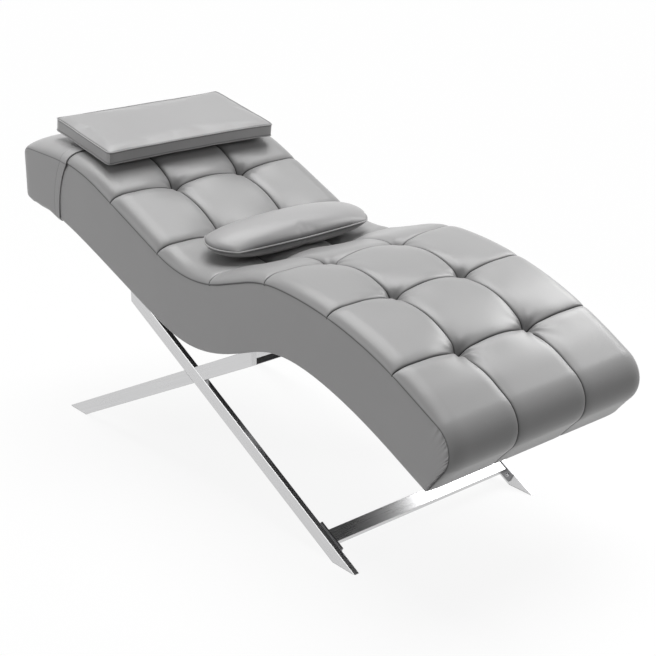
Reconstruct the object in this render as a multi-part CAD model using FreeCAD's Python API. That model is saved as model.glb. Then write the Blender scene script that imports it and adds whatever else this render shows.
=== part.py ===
import FreeCAD, Part
import math
import os
from FreeCAD import Vector

# Eyelash extension bed: a tufted, S-curved padded body on a flat-bar X base,
# with a slip-on head cover, a head pillow and a lumbar pillow.
# Millimetres. +X points to the foot end and +Z up, and the bed is symmetric about Y = 0.
# The origin is on the floor, below the middle of the bed's length.

os.makedirs("parts", exist_ok=True)

# Side seam of the padded body, walked from the head end: straight lengths, radii and turns
bed_width = 620.0
head_end_x = -837.0
head_top_z = 730.5
head_flat = 148.0
crest_r = 565.0
crest_turn = 22.4
back_length = 280.5
waist_r = 374.5
waist_turn = 41.0
thigh_length = 98.0
knee_r = 369.0
knee_turn = 20.1
calf_r = 992.0
calf_turn = 24.9
calf_length = 115.0
nose_r = 64.5
nose_turn = 100.8
foot_face = 82.0

# Depth of the body below its side seam, square to the seam
head_depth = 151.0
crest_depth = 165.0
shoulder_depth = 180.0
lower_back_depth = 170.5
waist_depth = 178.0
thigh_depth = 169.5
knee_depth = 165.5
calf_depth = 162.5
ankle_depth = 162.0
foot_depth = 159.0

# Layers under the seam, from the top down
quilt_depth = 30.0
base_foam_t = 40.0
deck_t = 6.0
dust_cover_t = 1.5
side_panel_t = 10.0
rib_t = 18.0
rail_t = 22.0
board_t = 24.0
board_length = 76.0
head_pad_t = 25.0
head_pad_straight = 3.0

# Sewn tufts of the top: heights above the side seam
middle_column = 219.0
first_row = 208.0
row_count = 7
foot_tuft_length = 155.0
edge_rise = 2.0
node_drop = 1.0
seam_rise = 12.0
channel_rise = 8.0
crown_rise = 25.0
nose_crown_rise = 17.0
tip_rise = 4.0
swell_share = 0.14
swell_there = 0.65

# Slip-on cover over the head end
cover_t = 3.0
cover_lean = 14.0

# X base: flat bars in two side frames, joined across by three bars
bar_width = 38.0
bar_t = 15.0
bar_edge_r = 1.5
bar_angle = 27.5
base_inset = 2.0
base_x = -72.0
crossing_below_head = 432.5
front_arm_past = 50.2
rear_arm_past = 88.5
foot_pad_t = 2.0
foot_pad_margin = 3.0
crossbar_setback = 77.0
rail_setback = 4.0
plate_t = 5.0
crossbar_plate_cut = 8.0
crossbar_plate_lip = 3.0
crossbar_bolt_gap = 12.0
crossbar_plate_margin = 11.0
rail_plate_cut = 6.0
rail_bolt_margin = 9.0

# Fasteners
frame_bolt_r = 3.0
frame_bolt_head_r = 5.5
frame_bolt_head_h = 4.0
frame_bolt_wall = 5.0
seat_bolt_r = 4.0
seat_bolt_head_r = 7.0
seat_bolt_head_h = 4.5
seat_bolt_y = 180.0
washer_r = 9.0
washer_t = 1.6
spacer_r = 11.0
tee_flange_r = 11.0
tee_flange_t = 1.5
tee_barrel_r = 5.5
tee_barrel_l = 14.0
bolt_clearance = 0.3
head_taper = 0.7
socket_share = 0.65

# Loose pillows
head_pillow_width = 510.0
head_pillow_depth = 276.0
head_pillow_side = 34.0
head_pillow_crown = 14.0
head_pillow_sag = 26.0
head_pillow_draw = 5.0
head_pillow_corner = 0.8
head_pillow_place = 226.0
head_pillow_press = 14.0
head_pillow_tilt = 8.5
head_pillow_yaw = 2.5
lumbar_length = 452.0
lumbar_depth = 165.0
lumbar_height = 90.0
lumbar_edge = 3.0
lumbar_end = 0.42
lumbar_place = 792.0
lumbar_press = 2.0
lumbar_tilt = 3.0
lumbar_yaw = 1.0
rest_clearance = 0.35

# Room that cutting tools reach past the shape they cut
spare = 60.0

half_width = bed_width / 2
channel_y = middle_column / 2
panel_inner_y = half_width - side_panel_t
rib_inner_y = panel_inner_y - rib_t
bar_outer_y = half_width - base_inset
bar_inner_y = bar_outer_y - bar_t
pad_corner_r = head_pad_t - head_pad_straight
slope = math.radians(bar_angle)
crossing_z = head_top_z - crossing_below_head


class Stretch:
    """A straight or round stretch of an outline in the XZ plane, walked from its start."""

    def __init__(self, x, z, heading, size, turn):
        self.x = x
        self.z = z
        self.heading = heading
        self.size = size
        self.turn = turn
        self.length = size * abs(turn) if turn else size

    def at(self, run):
        """Point and heading after walking run along the stretch."""
        if not self.turn:
            return (
                self.x + run * math.cos(self.heading),
                self.z + run * math.sin(self.heading),
                self.heading,
            )
        side = math.copysign(1, self.turn)
        heading = self.heading + side * run / self.size
        x = self.x + side * self.size * (math.sin(heading) - math.sin(self.heading))
        z = self.z - side * self.size * (math.cos(heading) - math.cos(self.heading))
        return x, z, heading

    def sunk(self, depth):
        """The same stretch, moved sideways into the body."""
        x = self.x + depth * math.sin(self.heading)
        z = self.z - depth * math.cos(self.heading)
        size = self.size + math.copysign(depth, self.turn) if self.turn else self.size
        return Stretch(x, z, self.heading, size, self.turn)

    def between(self, run, end):
        """The stretch from run to end."""
        x, z, heading = self.at(run)
        if not self.turn:
            return Stretch(x, z, heading, end - run, 0)
        return Stretch(x, z, heading, self.size, math.copysign((end - run) / self.size, self.turn))

    def edge(self):
        """The stretch as an edge in the plane Y = 0."""
        first, middle, last = (
            Vector(x, 0, z) for x, z, _ in (self.at(self.length * k / 2) for k in range(3))
        )
        if not self.turn:
            return Part.makeLine(first, last)
        return Part.Arc(first, middle, last).toShape()


def walk(x, z, moves):
    """Stretches met when walking from a point along +X: (length, 0) or (radius, turn)."""
    heading = 0.0
    stretches = []
    for size, turn in moves:
        stretches.append(Stretch(x, z, heading, size, math.radians(turn)))
        x, z, heading = stretches[-1].at(stretches[-1].length)
    return stretches


seam = walk(
    head_end_x,
    head_top_z,
    [
        (head_flat, 0),
        (crest_r, -crest_turn),
        (back_length, 0),
        (waist_r, waist_turn),
        (thigh_length, 0),
        (knee_r, -knee_turn),
        (calf_r, -calf_turn),
        (calf_length, 0),
        (nose_r, -nose_turn),
        (foot_face, 0),
    ],
)
joints = [sum(stretch.length for stretch in seam[:k]) for k in range(len(seam) + 1)]
crest_start, crest_end, back_end, waist_end, thigh_end, knee_end, calf_turned, nose_start = joints[1:9]
nose_end = joints[9]
seam_end = joints[10]


def on_seam(s, depth=0.0, y=0.0):
    """Point at a walked length along the seam, sunk square to it, and the heading there."""
    k = 0
    while k < len(seam) - 1 and s > joints[k + 1]:
        k += 1
    x, z, heading = seam[k].at(s - joints[k])
    return Vector(x + depth * math.sin(heading), y, z - depth * math.cos(heading)), heading


def seam_edges(s, end, depth):
    """Edges of the seam between two walked lengths, sunk into the body."""
    edges = []
    for k, stretch in enumerate(seam):
        first = max(s, joints[k])
        last = min(end, joints[k + 1])
        if last - first > 1e-6:
            edges.append(stretch.between(first - joints[k], last - joints[k]).sunk(depth).edge())
    return edges


under_stations = [
    (head_pad_t, head_depth),
    (crest_start, crest_depth),
    (crest_end, shoulder_depth),
    (back_end, lower_back_depth),
    ((back_end + waist_end) / 2, waist_depth),
    (waist_end, thigh_depth),
    ((thigh_end + knee_end) / 2, knee_depth),
    ((knee_end + calf_turned) / 2, calf_depth),
    (calf_turned, ankle_depth),
    (nose_start, foot_depth),
]


def under_edge(lift):
    """Underside of the body from the head pad to the nose, raised into the body by lift."""
    curve = Part.BSplineCurve()
    curve.interpolate([on_seam(s, depth - lift)[0] for s, depth in under_stations])
    return curve.toShape()


def depth_at(s):
    """Depth of the body near the head, between its named depths."""
    (s0, d0), (s1, d1) = under_stations[:2]
    if s > s1:
        (s0, d0), (s1, d1) = under_stations[1:3]
    return d0 + (d1 - d0) * (s - s0) / (s1 - s0)


def meet(p, along_p, q, along_q):
    """Point where two lines of the XZ plane cross."""
    across = along_p.x * along_q.z - along_p.z * along_q.x
    gap = q - p
    run = (gap.x * along_q.z - gap.z * along_q.x) / across
    return p + along_p * run


def prism(edges, y0, y1):
    """Solid between two Y planes over a closed outline drawn in the plane Y = 0."""
    face = Part.Face(Part.Wire(Part.__sortEdges__(edges)))
    face.translate(Vector(0, y0, 0))
    return face.extrude(Vector(0, y1 - y0, 0))


def polygon(points, y0, y1):
    """Solid between two Y planes over a polygon of the XZ plane."""
    return prism(Part.makePolygon(points + points[:1]).Edges, y0, y1)


def both_sides(make, inner, outer):
    """The right-hand (-Y) and left-hand (+Y) solids of a mirrored pair."""
    return make(-outer, -inner), make(inner, outer)


# Corners where the foot face meets the underside
tip, tip_heading = on_seam(seam_end)
face_along = Vector(math.cos(tip_heading), 0, math.sin(tip_heading))
under_nose = on_seam(nose_start, foot_depth)[0]
under_along = tip - under_nose
quilt_tip = on_seam(seam_end, quilt_depth)[0]
quilt_end = meet(quilt_tip, face_along, under_nose, under_along)
cover_nose = on_seam(nose_start, foot_depth - dust_cover_t)[0]
cover_end = meet(quilt_tip, face_along, cover_nose, under_along)


def body_outline(depth):
    """Closed outline of the body below a layer that follows the seam, to the underside."""
    top = seam_edges(head_pad_t, seam_end, depth)
    end = tip if depth == 0 else quilt_end
    if depth:
        top.append(Part.makeLine(on_seam(seam_end, depth)[0], end))
    return top + [
        Part.makeLine(end, under_nose),
        under_edge(0),
        Part.makeLine(on_seam(head_pad_t, depth)[0], on_seam(head_pad_t, head_depth)[0]),
    ]


def layer_outline(top, bottom):
    """Closed outline of a layer from the head pad to the nose, between two depths."""
    return seam_edges(head_pad_t, nose_start, top) + seam_edges(head_pad_t, nose_start, bottom) + [
        Part.makeLine(on_seam(head_pad_t, top)[0], on_seam(head_pad_t, bottom)[0]),
        Part.makeLine(on_seam(nose_start, top)[0], on_seam(nose_start, bottom)[0]),
    ]


def frame_outline():
    """Closed outline of the wooden frame, from the deck down to the dust cover."""
    top = quilt_depth + base_foam_t + deck_t
    return seam_edges(head_pad_t, nose_start, top) + [
        Part.makeLine(on_seam(nose_start, top)[0], cover_nose),
        under_edge(dust_cover_t),
        Part.makeLine(on_seam(head_pad_t, top)[0], on_seam(head_pad_t, head_depth - dust_cover_t)[0]),
    ]


def dust_cover_outline():
    """Closed outline of the cloth under the frame, up to the foot end of the quilt."""
    return [
        under_edge(0),
        under_edge(dust_cover_t),
        Part.makeLine(under_nose, quilt_end),
        Part.makeLine(quilt_end, cover_end),
        Part.makeLine(cover_end, cover_nose),
        Part.makeLine(
            on_seam(head_pad_t, head_depth)[0], on_seam(head_pad_t, head_depth - dust_cover_t)[0]
        ),
    ]


def nose_outline():
    """Closed outline of the foam that fills the foot end."""
    return seam_edges(nose_start, seam_end, quilt_depth) + [
        Part.makeLine(quilt_tip, cover_end),
        Part.makeLine(cover_end, cover_nose),
        Part.makeLine(cover_nose, on_seam(nose_start, quilt_depth)[0]),
    ]


def tuft_heights(swell):
    """Heights over the seam from the edge to the middle: edge, outer crown, channel, middle crown."""
    crown = seam_rise + (crown_rise - seam_rise) * swell
    channel = -node_drop + (channel_rise + node_drop) * swell
    return [edge_rise, crown, channel, crown - edge_rise]


def mixed(first, second, share):
    """Heights part of the way from one list to another."""
    return [a + (b - a) * share for a, b in zip(first, second)]


plain_heights = [edge_rise, crown_rise - edge_rise, crown_rise - 2 * edge_rise, crown_rise]
nose_heights = [edge_rise, nose_crown_rise, channel_rise / 2, nose_crown_rise]
tip_heights = [edge_rise, tip_rise, edge_rise, tip_rise]


def quilt_section(s, heights, wide, bottom):
    """Closed section square to the seam: a flat root and an arc over each tuft column."""
    outer_y = (half_width + channel_y) / 2
    edge, outer, channel, middle = heights

    def spot(y, height):
        return on_seam(s, -height, y)[0]

    edge_right = spot(-wide, edge)
    edge_left = spot(wide, edge)
    root_right = spot(-wide, bottom)
    root_left = spot(wide, bottom)
    channel_right = spot(-channel_y, channel)
    channel_left = spot(channel_y, channel)
    return Part.Wire(
        [
            Part.makeLine(root_left, root_right),
            Part.makeLine(root_right, edge_right),
            Part.Arc(edge_right, spot(-outer_y, outer), channel_right).toShape(),
            Part.Arc(channel_right, spot(0, middle), channel_left).toShape(),
            Part.Arc(channel_left, spot(outer_y, outer), edge_left).toShape(),
            Part.makeLine(edge_left, root_left),
        ]
    )


# Where a tuft's sections stand between two seams, and how far it has swelled there
tuft_swell = [(0, 0), (swell_share, swell_there), (0.5, 1), (1 - swell_share, swell_there), (1, 0)]
last_row = nose_start - foot_tuft_length
row_pitch = (last_row - first_row) / (row_count - 1)
rows = [first_row + row_pitch * k for k in range(row_count)]

# Sections of the plain head end, down into the first seam
head_flat_runs = [first_row * share for share in (0.4, 0.7)]
head_sections = [
    (head_pad_t, plain_heights),
    *((s, plain_heights) for s in head_flat_runs),
    (first_row - row_pitch * swell_share, mixed(plain_heights, tuft_heights(swell_there), 0.7)),
    (first_row, tuft_heights(0)),
]


def nose_sections():
    """Sections of the last tufts, from the last seam round the nose to past the foot edge."""
    around = (nose_end - nose_start) / 3
    return [
        (last_row, tuft_heights(0)),
        (last_row + foot_tuft_length * swell_share * 1.5, tuft_heights(swell_there)),
        (last_row + foot_tuft_length * 0.7, tuft_heights(1)),
        (nose_start, mixed(tuft_heights(1), nose_heights, 0.5)),
        (nose_start + around, nose_heights),
        (nose_start + around * 2, nose_heights),
        (nose_end, mixed(nose_heights, tip_heights, 0.3)),
        (seam_end - foot_face * 0.4, mixed(nose_heights, tip_heights, 0.75)),
        (seam_end, tip_heights),
        (seam_end + quilt_depth / 2, tip_heights),
    ]


def fused(solids):
    """One solid from several that share faces."""
    return solids[0].multiFuse(solids[1:]).removeSplitter().Solids[0]


def tufted_top(side_panels):
    """Quilted top: a loft over each row of tufts, seated on the foam and the side panels."""
    root = -quilt_depth - edge_rise * 2
    runs = [head_sections]
    for start in rows[:-1]:
        runs.append([(start + row_pitch * share, tuft_heights(swell)) for share, swell in tuft_swell])
    runs.append(nose_sections())
    lofts = []
    for run in runs:
        wires = [quilt_section(s, heights, half_width, root) for s, heights in run]
        lofts.append(Part.makeLoft(wires, True, False))
    below = prism(body_outline(quilt_depth), -half_width - spare, half_width + spare)
    past_tip = polygon(
        [quilt_end - under_along, tip + under_along, tip + under_along - Vector(0, 0, spare),
         quilt_end - under_along - Vector(0, 0, spare)],
        -half_width - spare,
        half_width + spare,
    )
    return fused(lofts).cut(below).cut(past_tip).cut(side_panels[0]).cut(side_panels[1]).Solids[0]


def rounded_end(corner_r, out):
    """Loft of the rounded head end, standing out from the body by a wall."""
    wires = []
    steps = 3
    for step in range(steps + 1):
        angle = math.pi / 2 * step / steps
        pulled = corner_r * (1 - math.sin(angle)) - out
        heights = [height - pulled for height in plain_heights]
        s = corner_r * (1 - math.cos(angle)) - out
        wires.append(quilt_section(s, heights, half_width - pulled, pulled - depth_at(s)))
    return Part.makeLoft(wires, True, False)


def head_end_pad():
    """Foam pad that rounds off the head end."""
    back = [
        quilt_section(s, plain_heights, half_width, -depth_at(s)) for s in (pad_corner_r, head_pad_t)
    ]
    return fused([rounded_end(pad_corner_r, 0), Part.makeLoft(back, True, True)])


def head_cover(body, top, end_pad):
    """Slip-on sleeve that wraps the head end, open towards the foot end."""
    wires = []
    for s, heights in [(pad_corner_r, plain_heights)] + head_sections[1:]:
        raised = [height + cover_t for height in heights]
        wires.append(quilt_section(s, raised, half_width + cover_t, -depth_at(s) - cover_t))
    sleeve = fused([rounded_end(pad_corner_r + cover_t, cover_t), Part.makeLoft(wires, True, False)])
    mouth = on_seam(first_row)[0]
    lean = Vector(math.sin(math.radians(cover_lean)), 0, math.cos(math.radians(cover_lean)))
    reach = bed_width / 2
    beyond = Vector(reach, 0, 0)
    past_mouth = polygon(
        [mouth + lean * reach, mouth - lean * reach, mouth - lean * reach + beyond,
         mouth + lean * reach + beyond],
        -half_width - spare,
        half_width + spare,
    )
    return sleeve.cut(past_mouth).cut(body).cut(end_pad).cut(top).Solids[0]


def placed(shape, s, rise, tilt, yaw):
    """A pillow drawn about the origin, set over the seam at a walked length."""
    shape = shape.copy()
    shape.rotate(Vector(), Vector(0, 1, 0), tilt)
    shape.rotate(Vector(), Vector(0, 0, 1), yaw)
    shape.translate(on_seam(s)[0] + Vector(0, 0, rise))
    return shape


def pillow_section(y, depth, side, crown_up, crown_down):
    """Closed section of a pillow: straight front and back, with arcs above and below."""
    front_low = Vector(depth / 2, y, -side / 2)
    front_high = Vector(depth / 2, y, side / 2)
    back_low = Vector(-depth / 2, y, -side / 2)
    back_high = Vector(-depth / 2, y, side / 2)
    return Part.Wire(
        [
            Part.makeLine(front_low, front_high),
            Part.Arc(front_high, Vector(0, y, side / 2 + crown_up), back_high).toShape(),
            Part.makeLine(back_high, back_low),
            Part.Arc(back_low, Vector(0, y, -side / 2 - crown_down), front_low).toShape(),
        ]
    )


def seated(pillow, supports):
    """A soft pillow pressed to the shape that it rests on, and raised just clear of it."""
    for support in supports:
        pillow = pillow.cut(support)
    pillow = max(pillow.Solids, key=lambda solid: solid.Volume)
    return pillow.translated(Vector(0, 0, rest_clearance))


def head_pillow():
    """Box cushion with a crowned top, a sagging underside and sides drawn in between its corners."""
    wires = []
    for share in (-1, -0.9, -0.5, 0, 0.5, 0.9, 1):
        swell = math.sqrt(max(0.0, 1 - share * share))
        fullness = 1 - head_pillow_corner + head_pillow_corner * swell
        depth = head_pillow_depth - head_pillow_draw * 2 * swell
        side = head_pillow_side * (head_pillow_corner + (1 - head_pillow_corner) * swell)
        crown = head_pillow_crown * fullness
        sag = head_pillow_sag * fullness
        wires.append(pillow_section(share * head_pillow_width / 2, depth, side, crown, sag))
    rise = crown_rise + cover_t + head_pillow_side / 2 + head_pillow_sag - head_pillow_press
    pillow = Part.makeLoft(wires, True, False)
    return placed(pillow, head_pillow_place, rise, head_pillow_tilt, -head_pillow_yaw)


def lumbar_pillow():
    """Oblong pillow with a sewn edge all round and rounded ends."""
    wires = []
    for share in (-1, -0.96, -0.86, -0.5, 0, 0.5, 0.86, 0.96, 1):
        swell = math.sqrt(1 - abs(share) ** 3)
        depth = lumbar_depth * (lumbar_end + (1 - lumbar_end) * swell)
        crown = lumbar_edge + (lumbar_height / 2 - lumbar_edge) * swell
        wires.append(pillow_section(share * lumbar_length / 2, depth, lumbar_edge, crown, crown))
    rise = crown_rise + lumbar_height / 2 - lumbar_press
    return placed(Part.makeLoft(wires, True, False), lumbar_place, rise, lumbar_tilt, -lumbar_yaw)


class Arm:
    """A straight flat bar of the X base: its run from the crossing and the way square to it."""

    def __init__(self, side):
        """side is 1 for the bar that falls towards the foot end, and -1 for the other."""
        self.along = Vector(math.cos(slope), 0, -side * math.sin(slope))
        self.square = Vector(side * math.sin(slope), 0, math.cos(slope))
        self.centre = Vector(base_x, 0, crossing_z)

    def at(self, run, off=0.0, y=0.0):
        """Point of the bar at a distance from the crossing, and off its middle line."""
        return self.centre + self.along * run + self.square * off + Vector(0, y, 0)

    def at_x(self, x, off):
        """Point of a line along the bar at a given X."""
        return meet(self.at(0, off), self.along, Vector(x, 0, 0), Vector(0, 0, 1))

    def at_z(self, z, off):
        """Point of a line along the bar at a given Z."""
        return meet(self.at(0, off), self.along, Vector(0, 0, z), Vector(1, 0, 0))

    def bar(self, end_x, y0, y1):
        """Flat bar from its upright upper cut to its level foot, with eased long edges."""
        half = bar_width / 2
        solid = polygon(
            [self.at_x(end_x, half), self.at_x(end_x, -half), self.at_z(foot_pad_t, -half),
             self.at_z(foot_pad_t, half)],
            y0,
            y1,
        )
        long_edges = [
            edge for edge in solid.Edges
            if abs((edge.Vertexes[1].Point - edge.Vertexes[0].Point).normalize().dot(self.along)) > 0.999
        ]
        return solid.makeFillet(bar_edge_r, long_edges)

    def block(self, run, off, length, height, y0, y1):
        """Block lined up with the bar, centred on a run and an offset."""
        corners = [(-1, -1), (1, -1), (1, 1), (-1, 1)]
        return polygon(
            [self.at(run + length / 2 * a, off + height / 2 * b) for a, b in corners], y0, y1
        )


long_arm = Arm(1)
short_arm = Arm(-1)
body_solid = prism(body_outline(0), -half_width, half_width)
frame_solid = prism(frame_outline(), -rib_inner_y, rib_inner_y)


def rod(radius, start, along, length):
    """Round rod from a point."""
    return Part.makeCylinder(radius, length, start, along)


def button_bolt(face, along, radius, length, head_r, head_h):
    """Socket bolt with a tapered head, whose shank starts at a face."""
    shank = rod(radius, face, along, length)
    head = Part.makeCone(head_r, head_r * head_taper, head_h, face, along * -1)
    socket = rod(radius * socket_share, face - along * head_h, along, head_h / 2)
    return shank.fuse(head).cut(socket).removeSplitter().Solids[0]


def cross_bolt(arm, run, off, side, from_y):
    """Button-head bolt that goes out through a plate into a bar."""
    outward = Vector(0, side, 0)
    face = arm.at(run, off, side * from_y)
    shank_length = plate_t + bar_t - frame_bolt_wall
    return button_bolt(face, outward, frame_bolt_r, shank_length, frame_bolt_head_r, frame_bolt_head_h)


class CrossBar:
    """A flat bar across the base, with a plate and two bolts at each end."""

    def __init__(self, arm, run, bar_off, plate_size, plate_off, bolt_pitch, bolt_off):
        self.arm = arm
        self.run = run
        self.off = bar_off
        self.inner_y = bar_inner_y - plate_t
        self.bar = arm.block(run, bar_off, bar_width, bar_t, -self.inner_y, self.inner_y)
        eased = [edge for edge in self.bar.Edges if edge.Length > bed_width / 2]
        self.bar = self.bar.makeFillet(bar_edge_r, eased)
        self.bolts = []
        self.plates = []
        for side in (-1, 1):
            ends = sorted([side * self.inner_y, side * bar_inner_y])
            plate = arm.block(run, plate_off, *plate_size, *ends).cut(body_solid)
            for place in (-bolt_pitch / 2, bolt_pitch / 2):
                bolt = cross_bolt(arm, run + place, bolt_off, side, self.inner_y)
                hole = rod(
                    frame_bolt_r + bolt_clearance,
                    arm.at(run + place, bolt_off, side * self.inner_y),
                    Vector(0, side, 0),
                    plate_t,
                )
                plate = plate.cut(hole)
                self.bolts.append(bolt)
            self.plates.append(plate)


def meets_body(arm, way):
    """X where the upper edge of an arm, walked up from the crossing, meets the underside of the body."""
    start = arm.at(0, bar_width / 2)
    inside = Part.makeLine(start, start + arm.along * (way * seam_end)).common(body_solid)
    return min((vertex.Point for vertex in inside.Vertexes), key=start.distanceToPoint).x


front_end_x = meets_body(short_arm, 1) + front_arm_past
rear_end_x = meets_body(long_arm, -1) - rear_arm_past
bar_low = (bar_t - bar_width) / 2
front_end = short_arm.at_x(front_end_x - rail_setback, -bar_width / 2)
rear_end = long_arm.at_x(rear_end_x + rail_setback, -bar_width / 2)
front_run = (front_end - short_arm.at(0, -bar_width / 2)).dot(short_arm.along) - bar_width / 2
rear_run = (rear_end - long_arm.at(0, -bar_width / 2)).dot(long_arm.along) + bar_width / 2
crossbar_run = (crossing_z - foot_pad_t) / math.sin(slope) - crossbar_setback

crossbar_bolt_pitch = bar_width + crossbar_bolt_gap * 2
crossbar_plate = (crossbar_bolt_pitch + crossbar_plate_margin * 2, bar_width - crossbar_plate_cut)
crossbar_plate_off = crossbar_plate_cut / 2 + crossbar_plate_lip
rail_bolt_pitch = bar_width - rail_bolt_margin * 2
rail_plate = (bar_width, bar_width - rail_plate_cut)
rail_plate_off = -rail_plate_cut / 2
rail_bolt_off = (bar_low + bar_t / 2 + bar_width / 2 - rail_plate_cut) / 2

lower_crossbar = CrossBar(
    long_arm, crossbar_run, -bar_low, crossbar_plate, crossbar_plate_off, crossbar_bolt_pitch,
    crossbar_plate_off,
)
front_rail = CrossBar(
    short_arm, front_run, bar_low, rail_plate, rail_plate_off, rail_bolt_pitch, rail_bolt_off
)
rear_rail = CrossBar(
    long_arm, rear_run, bar_low, rail_plate, rail_plate_off, rail_bolt_pitch, rail_bolt_off
)


class SeatFixing:
    """Bolts that hold the body to a seat rail: spacers, washers, tee nuts and a board in the frame."""

    def __init__(self, rail, body, frame):
        arm = rail.arm
        up = arm.square
        top_off = rail.off + bar_t / 2
        rail_top = arm.at(rail.run, top_off)
        inside = Part.makeLine(rail_top, rail_top + up * head_top_z).common(body)
        gap = min((vertex.Point - rail_top).dot(up) for vertex in inside.Vertexes)
        board_off = top_off + gap + dust_cover_t
        self.spacers = []
        self.washers = []
        self.bolts = []
        self.tee_nuts = []
        low = arm.block(
            rail.run, board_off + board_t / 2 - spare / 2, board_length, board_t + spare,
            -rib_inner_y, rib_inner_y,
        )
        self.board = low.common(frame)
        self.holes = []
        for y in (-seat_bolt_y, seat_bolt_y):
            start = arm.at(rail.run, top_off, y)
            through = rod(seat_bolt_r + bolt_clearance, start - up * spare, up, spare * 3)
            under = start - up * (bar_t + washer_t)
            shank_length = washer_t + bar_t + gap + dust_cover_t + board_t + tee_flange_t
            self.bolts.append(
                button_bolt(under, up, seat_bolt_r, shank_length, seat_bolt_head_r, seat_bolt_head_h)
            )
            self.washers.append(rod(washer_r, under, up, washer_t).cut(through))
            self.spacers.append(rod(spacer_r, start, up, gap + spare).cut(body).cut(through).Solids[0])
            board_top = arm.at(rail.run, board_off + board_t, y)
            barrel = rod(tee_barrel_r, board_top - up * tee_barrel_l, up, tee_barrel_l)
            flange = rod(tee_flange_r, board_top, up, tee_flange_t)
            self.board = self.board.cut(barrel).cut(through)
            self.tee_nuts.append(barrel.fuse(flange).cut(through).removeSplitter())
            self.holes.append(through)
            rail.bar = rail.bar.cut(through)


front_fixing = SeatFixing(front_rail, body_solid, frame_solid)
rear_fixing = SeatFixing(rear_rail, body_solid, frame_solid)
fixings = [front_fixing, rear_fixing]


def side_frame(y0, y1, side):
    """One X: the long bar, and the short arms that are welded to it below and above."""
    long_bar = long_arm.bar(rear_end_x, y0, y1).cut(body_solid)
    cross = short_arm.bar(front_end_x, y0, y1).cut(body_solid)
    blank = long_arm.block(0, 0, bar_width * 4, bar_width, y0, y1)
    lower, upper = sorted(cross.cut(blank).Solids, key=lambda solid: solid.CenterOfMass.x)
    bars = [long_bar, lower, upper]
    for crossing in (lower_crossbar, front_rail, rear_rail):
        for bolt in crossing.bolts:
            if bolt.CenterOfMass.y * side > 0:
                bars = [bar.cut(bolt) for bar in bars]
    return bars


def foot_pads():
    """Thin pads under the four feet."""
    pads = []
    for arm in (long_arm, short_arm):
        ends = sorted([arm.at_z(foot_pad_t, -bar_width / 2).x, arm.at_z(foot_pad_t, bar_width / 2).x])
        length = ends[1] - ends[0] - foot_pad_margin * 2
        width = bar_t - foot_pad_margin
        for y in (-bar_outer_y + foot_pad_margin / 2, bar_inner_y + foot_pad_margin / 2):
            corner = Vector(ends[0] + foot_pad_margin, y, 0)
            pads.append(Part.makeBox(length, width, foot_pad_t, corner))
    return pads


def end_rail(s0, s1):
    """Cross rail of the frame between two walked lengths."""
    corners = [on_seam(s0, 0)[0], on_seam(s0, head_top_z)[0], on_seam(s1, head_top_z)[0], on_seam(s1, 0)[0]]
    return polygon(corners, -rib_inner_y, rib_inner_y).common(frame_solid).Solids[0]


right_panel, left_panel = both_sides(
    lambda y0, y1: prism(body_outline(0), y0, y1), panel_inner_y, half_width
)
right_rib, left_rib = both_sides(
    lambda y0, y1: prism(frame_outline(), y0, y1), rib_inner_y, panel_inner_y
)
head_rail = end_rail(head_pad_t, head_pad_t + rail_t)
foot_rail = end_rail(nose_start - rail_t, nose_start)
centre_rib = prism(frame_outline(), -rib_t / 2, rib_t / 2)
for crossing in (head_rail, foot_rail, front_fixing.board, rear_fixing.board):
    centre_rib = centre_rib.cut(crossing)
dust_cover = prism(dust_cover_outline(), -panel_inner_y, panel_inner_y)
for fixing in fixings:
    for hole in fixing.holes:
        dust_cover = dust_cover.cut(hole)
foam_bottom = quilt_depth + base_foam_t
quilt = tufted_top([right_panel, left_panel])
end_pad = head_end_pad()
cover = head_cover(body_solid, quilt, end_pad)
pillow_supports = [quilt, cover]
right_bars = side_frame(-bar_outer_y, -bar_inner_y, -1)
left_bars = side_frame(bar_inner_y, bar_outer_y, 1)

nodes = {
    "right_long_bar": [right_bars[0]],
    "right_rear_leg_bar": [right_bars[1]],
    "right_front_arm_bar": [right_bars[2]],
    "left_long_bar": [left_bars[0]],
    "left_rear_leg_bar": [left_bars[1]],
    "left_front_arm_bar": [left_bars[2]],
    "foot_pads": foot_pads(),
    "lower_crossbar": [lower_crossbar.bar],
    "lower_crossbar_plates": lower_crossbar.plates,
    "lower_crossbar_bolts": lower_crossbar.bolts,
    "front_seat_rail": [front_rail.bar],
    "front_rail_plates": front_rail.plates,
    "front_rail_bolts": front_rail.bolts,
    "rear_seat_rail": [rear_rail.bar],
    "rear_rail_plates": rear_rail.plates,
    "rear_rail_bolts": rear_rail.bolts,
    "seat_spacers": front_fixing.spacers + rear_fixing.spacers,
    "seat_washers": front_fixing.washers + rear_fixing.washers,
    "seat_bolts": front_fixing.bolts + rear_fixing.bolts,
    "tee_nuts": front_fixing.tee_nuts + rear_fixing.tee_nuts,
    "front_mounting_board": [front_fixing.board],
    "rear_mounting_board": [rear_fixing.board],
    "right_side_rib": [right_rib],
    "left_side_rib": [left_rib],
    "centre_rib": [centre_rib],
    "head_end_rail": [head_rail],
    "foot_end_rail": [foot_rail],
    "deck_panel": [prism(layer_outline(foam_bottom, foam_bottom + deck_t), -panel_inner_y, panel_inner_y)],
    "base_foam": [prism(layer_outline(quilt_depth, foam_bottom), -panel_inner_y, panel_inner_y)],
    "nose_foam": [prism(nose_outline(), -panel_inner_y, panel_inner_y)],
    "tufted_top": [quilt],
    "right_side_panel": [right_panel],
    "left_side_panel": [left_panel],
    "head_end_pad": [end_pad],
    "head_cover": [cover],
    "dust_cover": [dust_cover],
    "head_pillow": [seated(head_pillow(), pillow_supports)],
    "lumbar_pillow": [seated(lumbar_pillow(), pillow_supports)],
}

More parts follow.
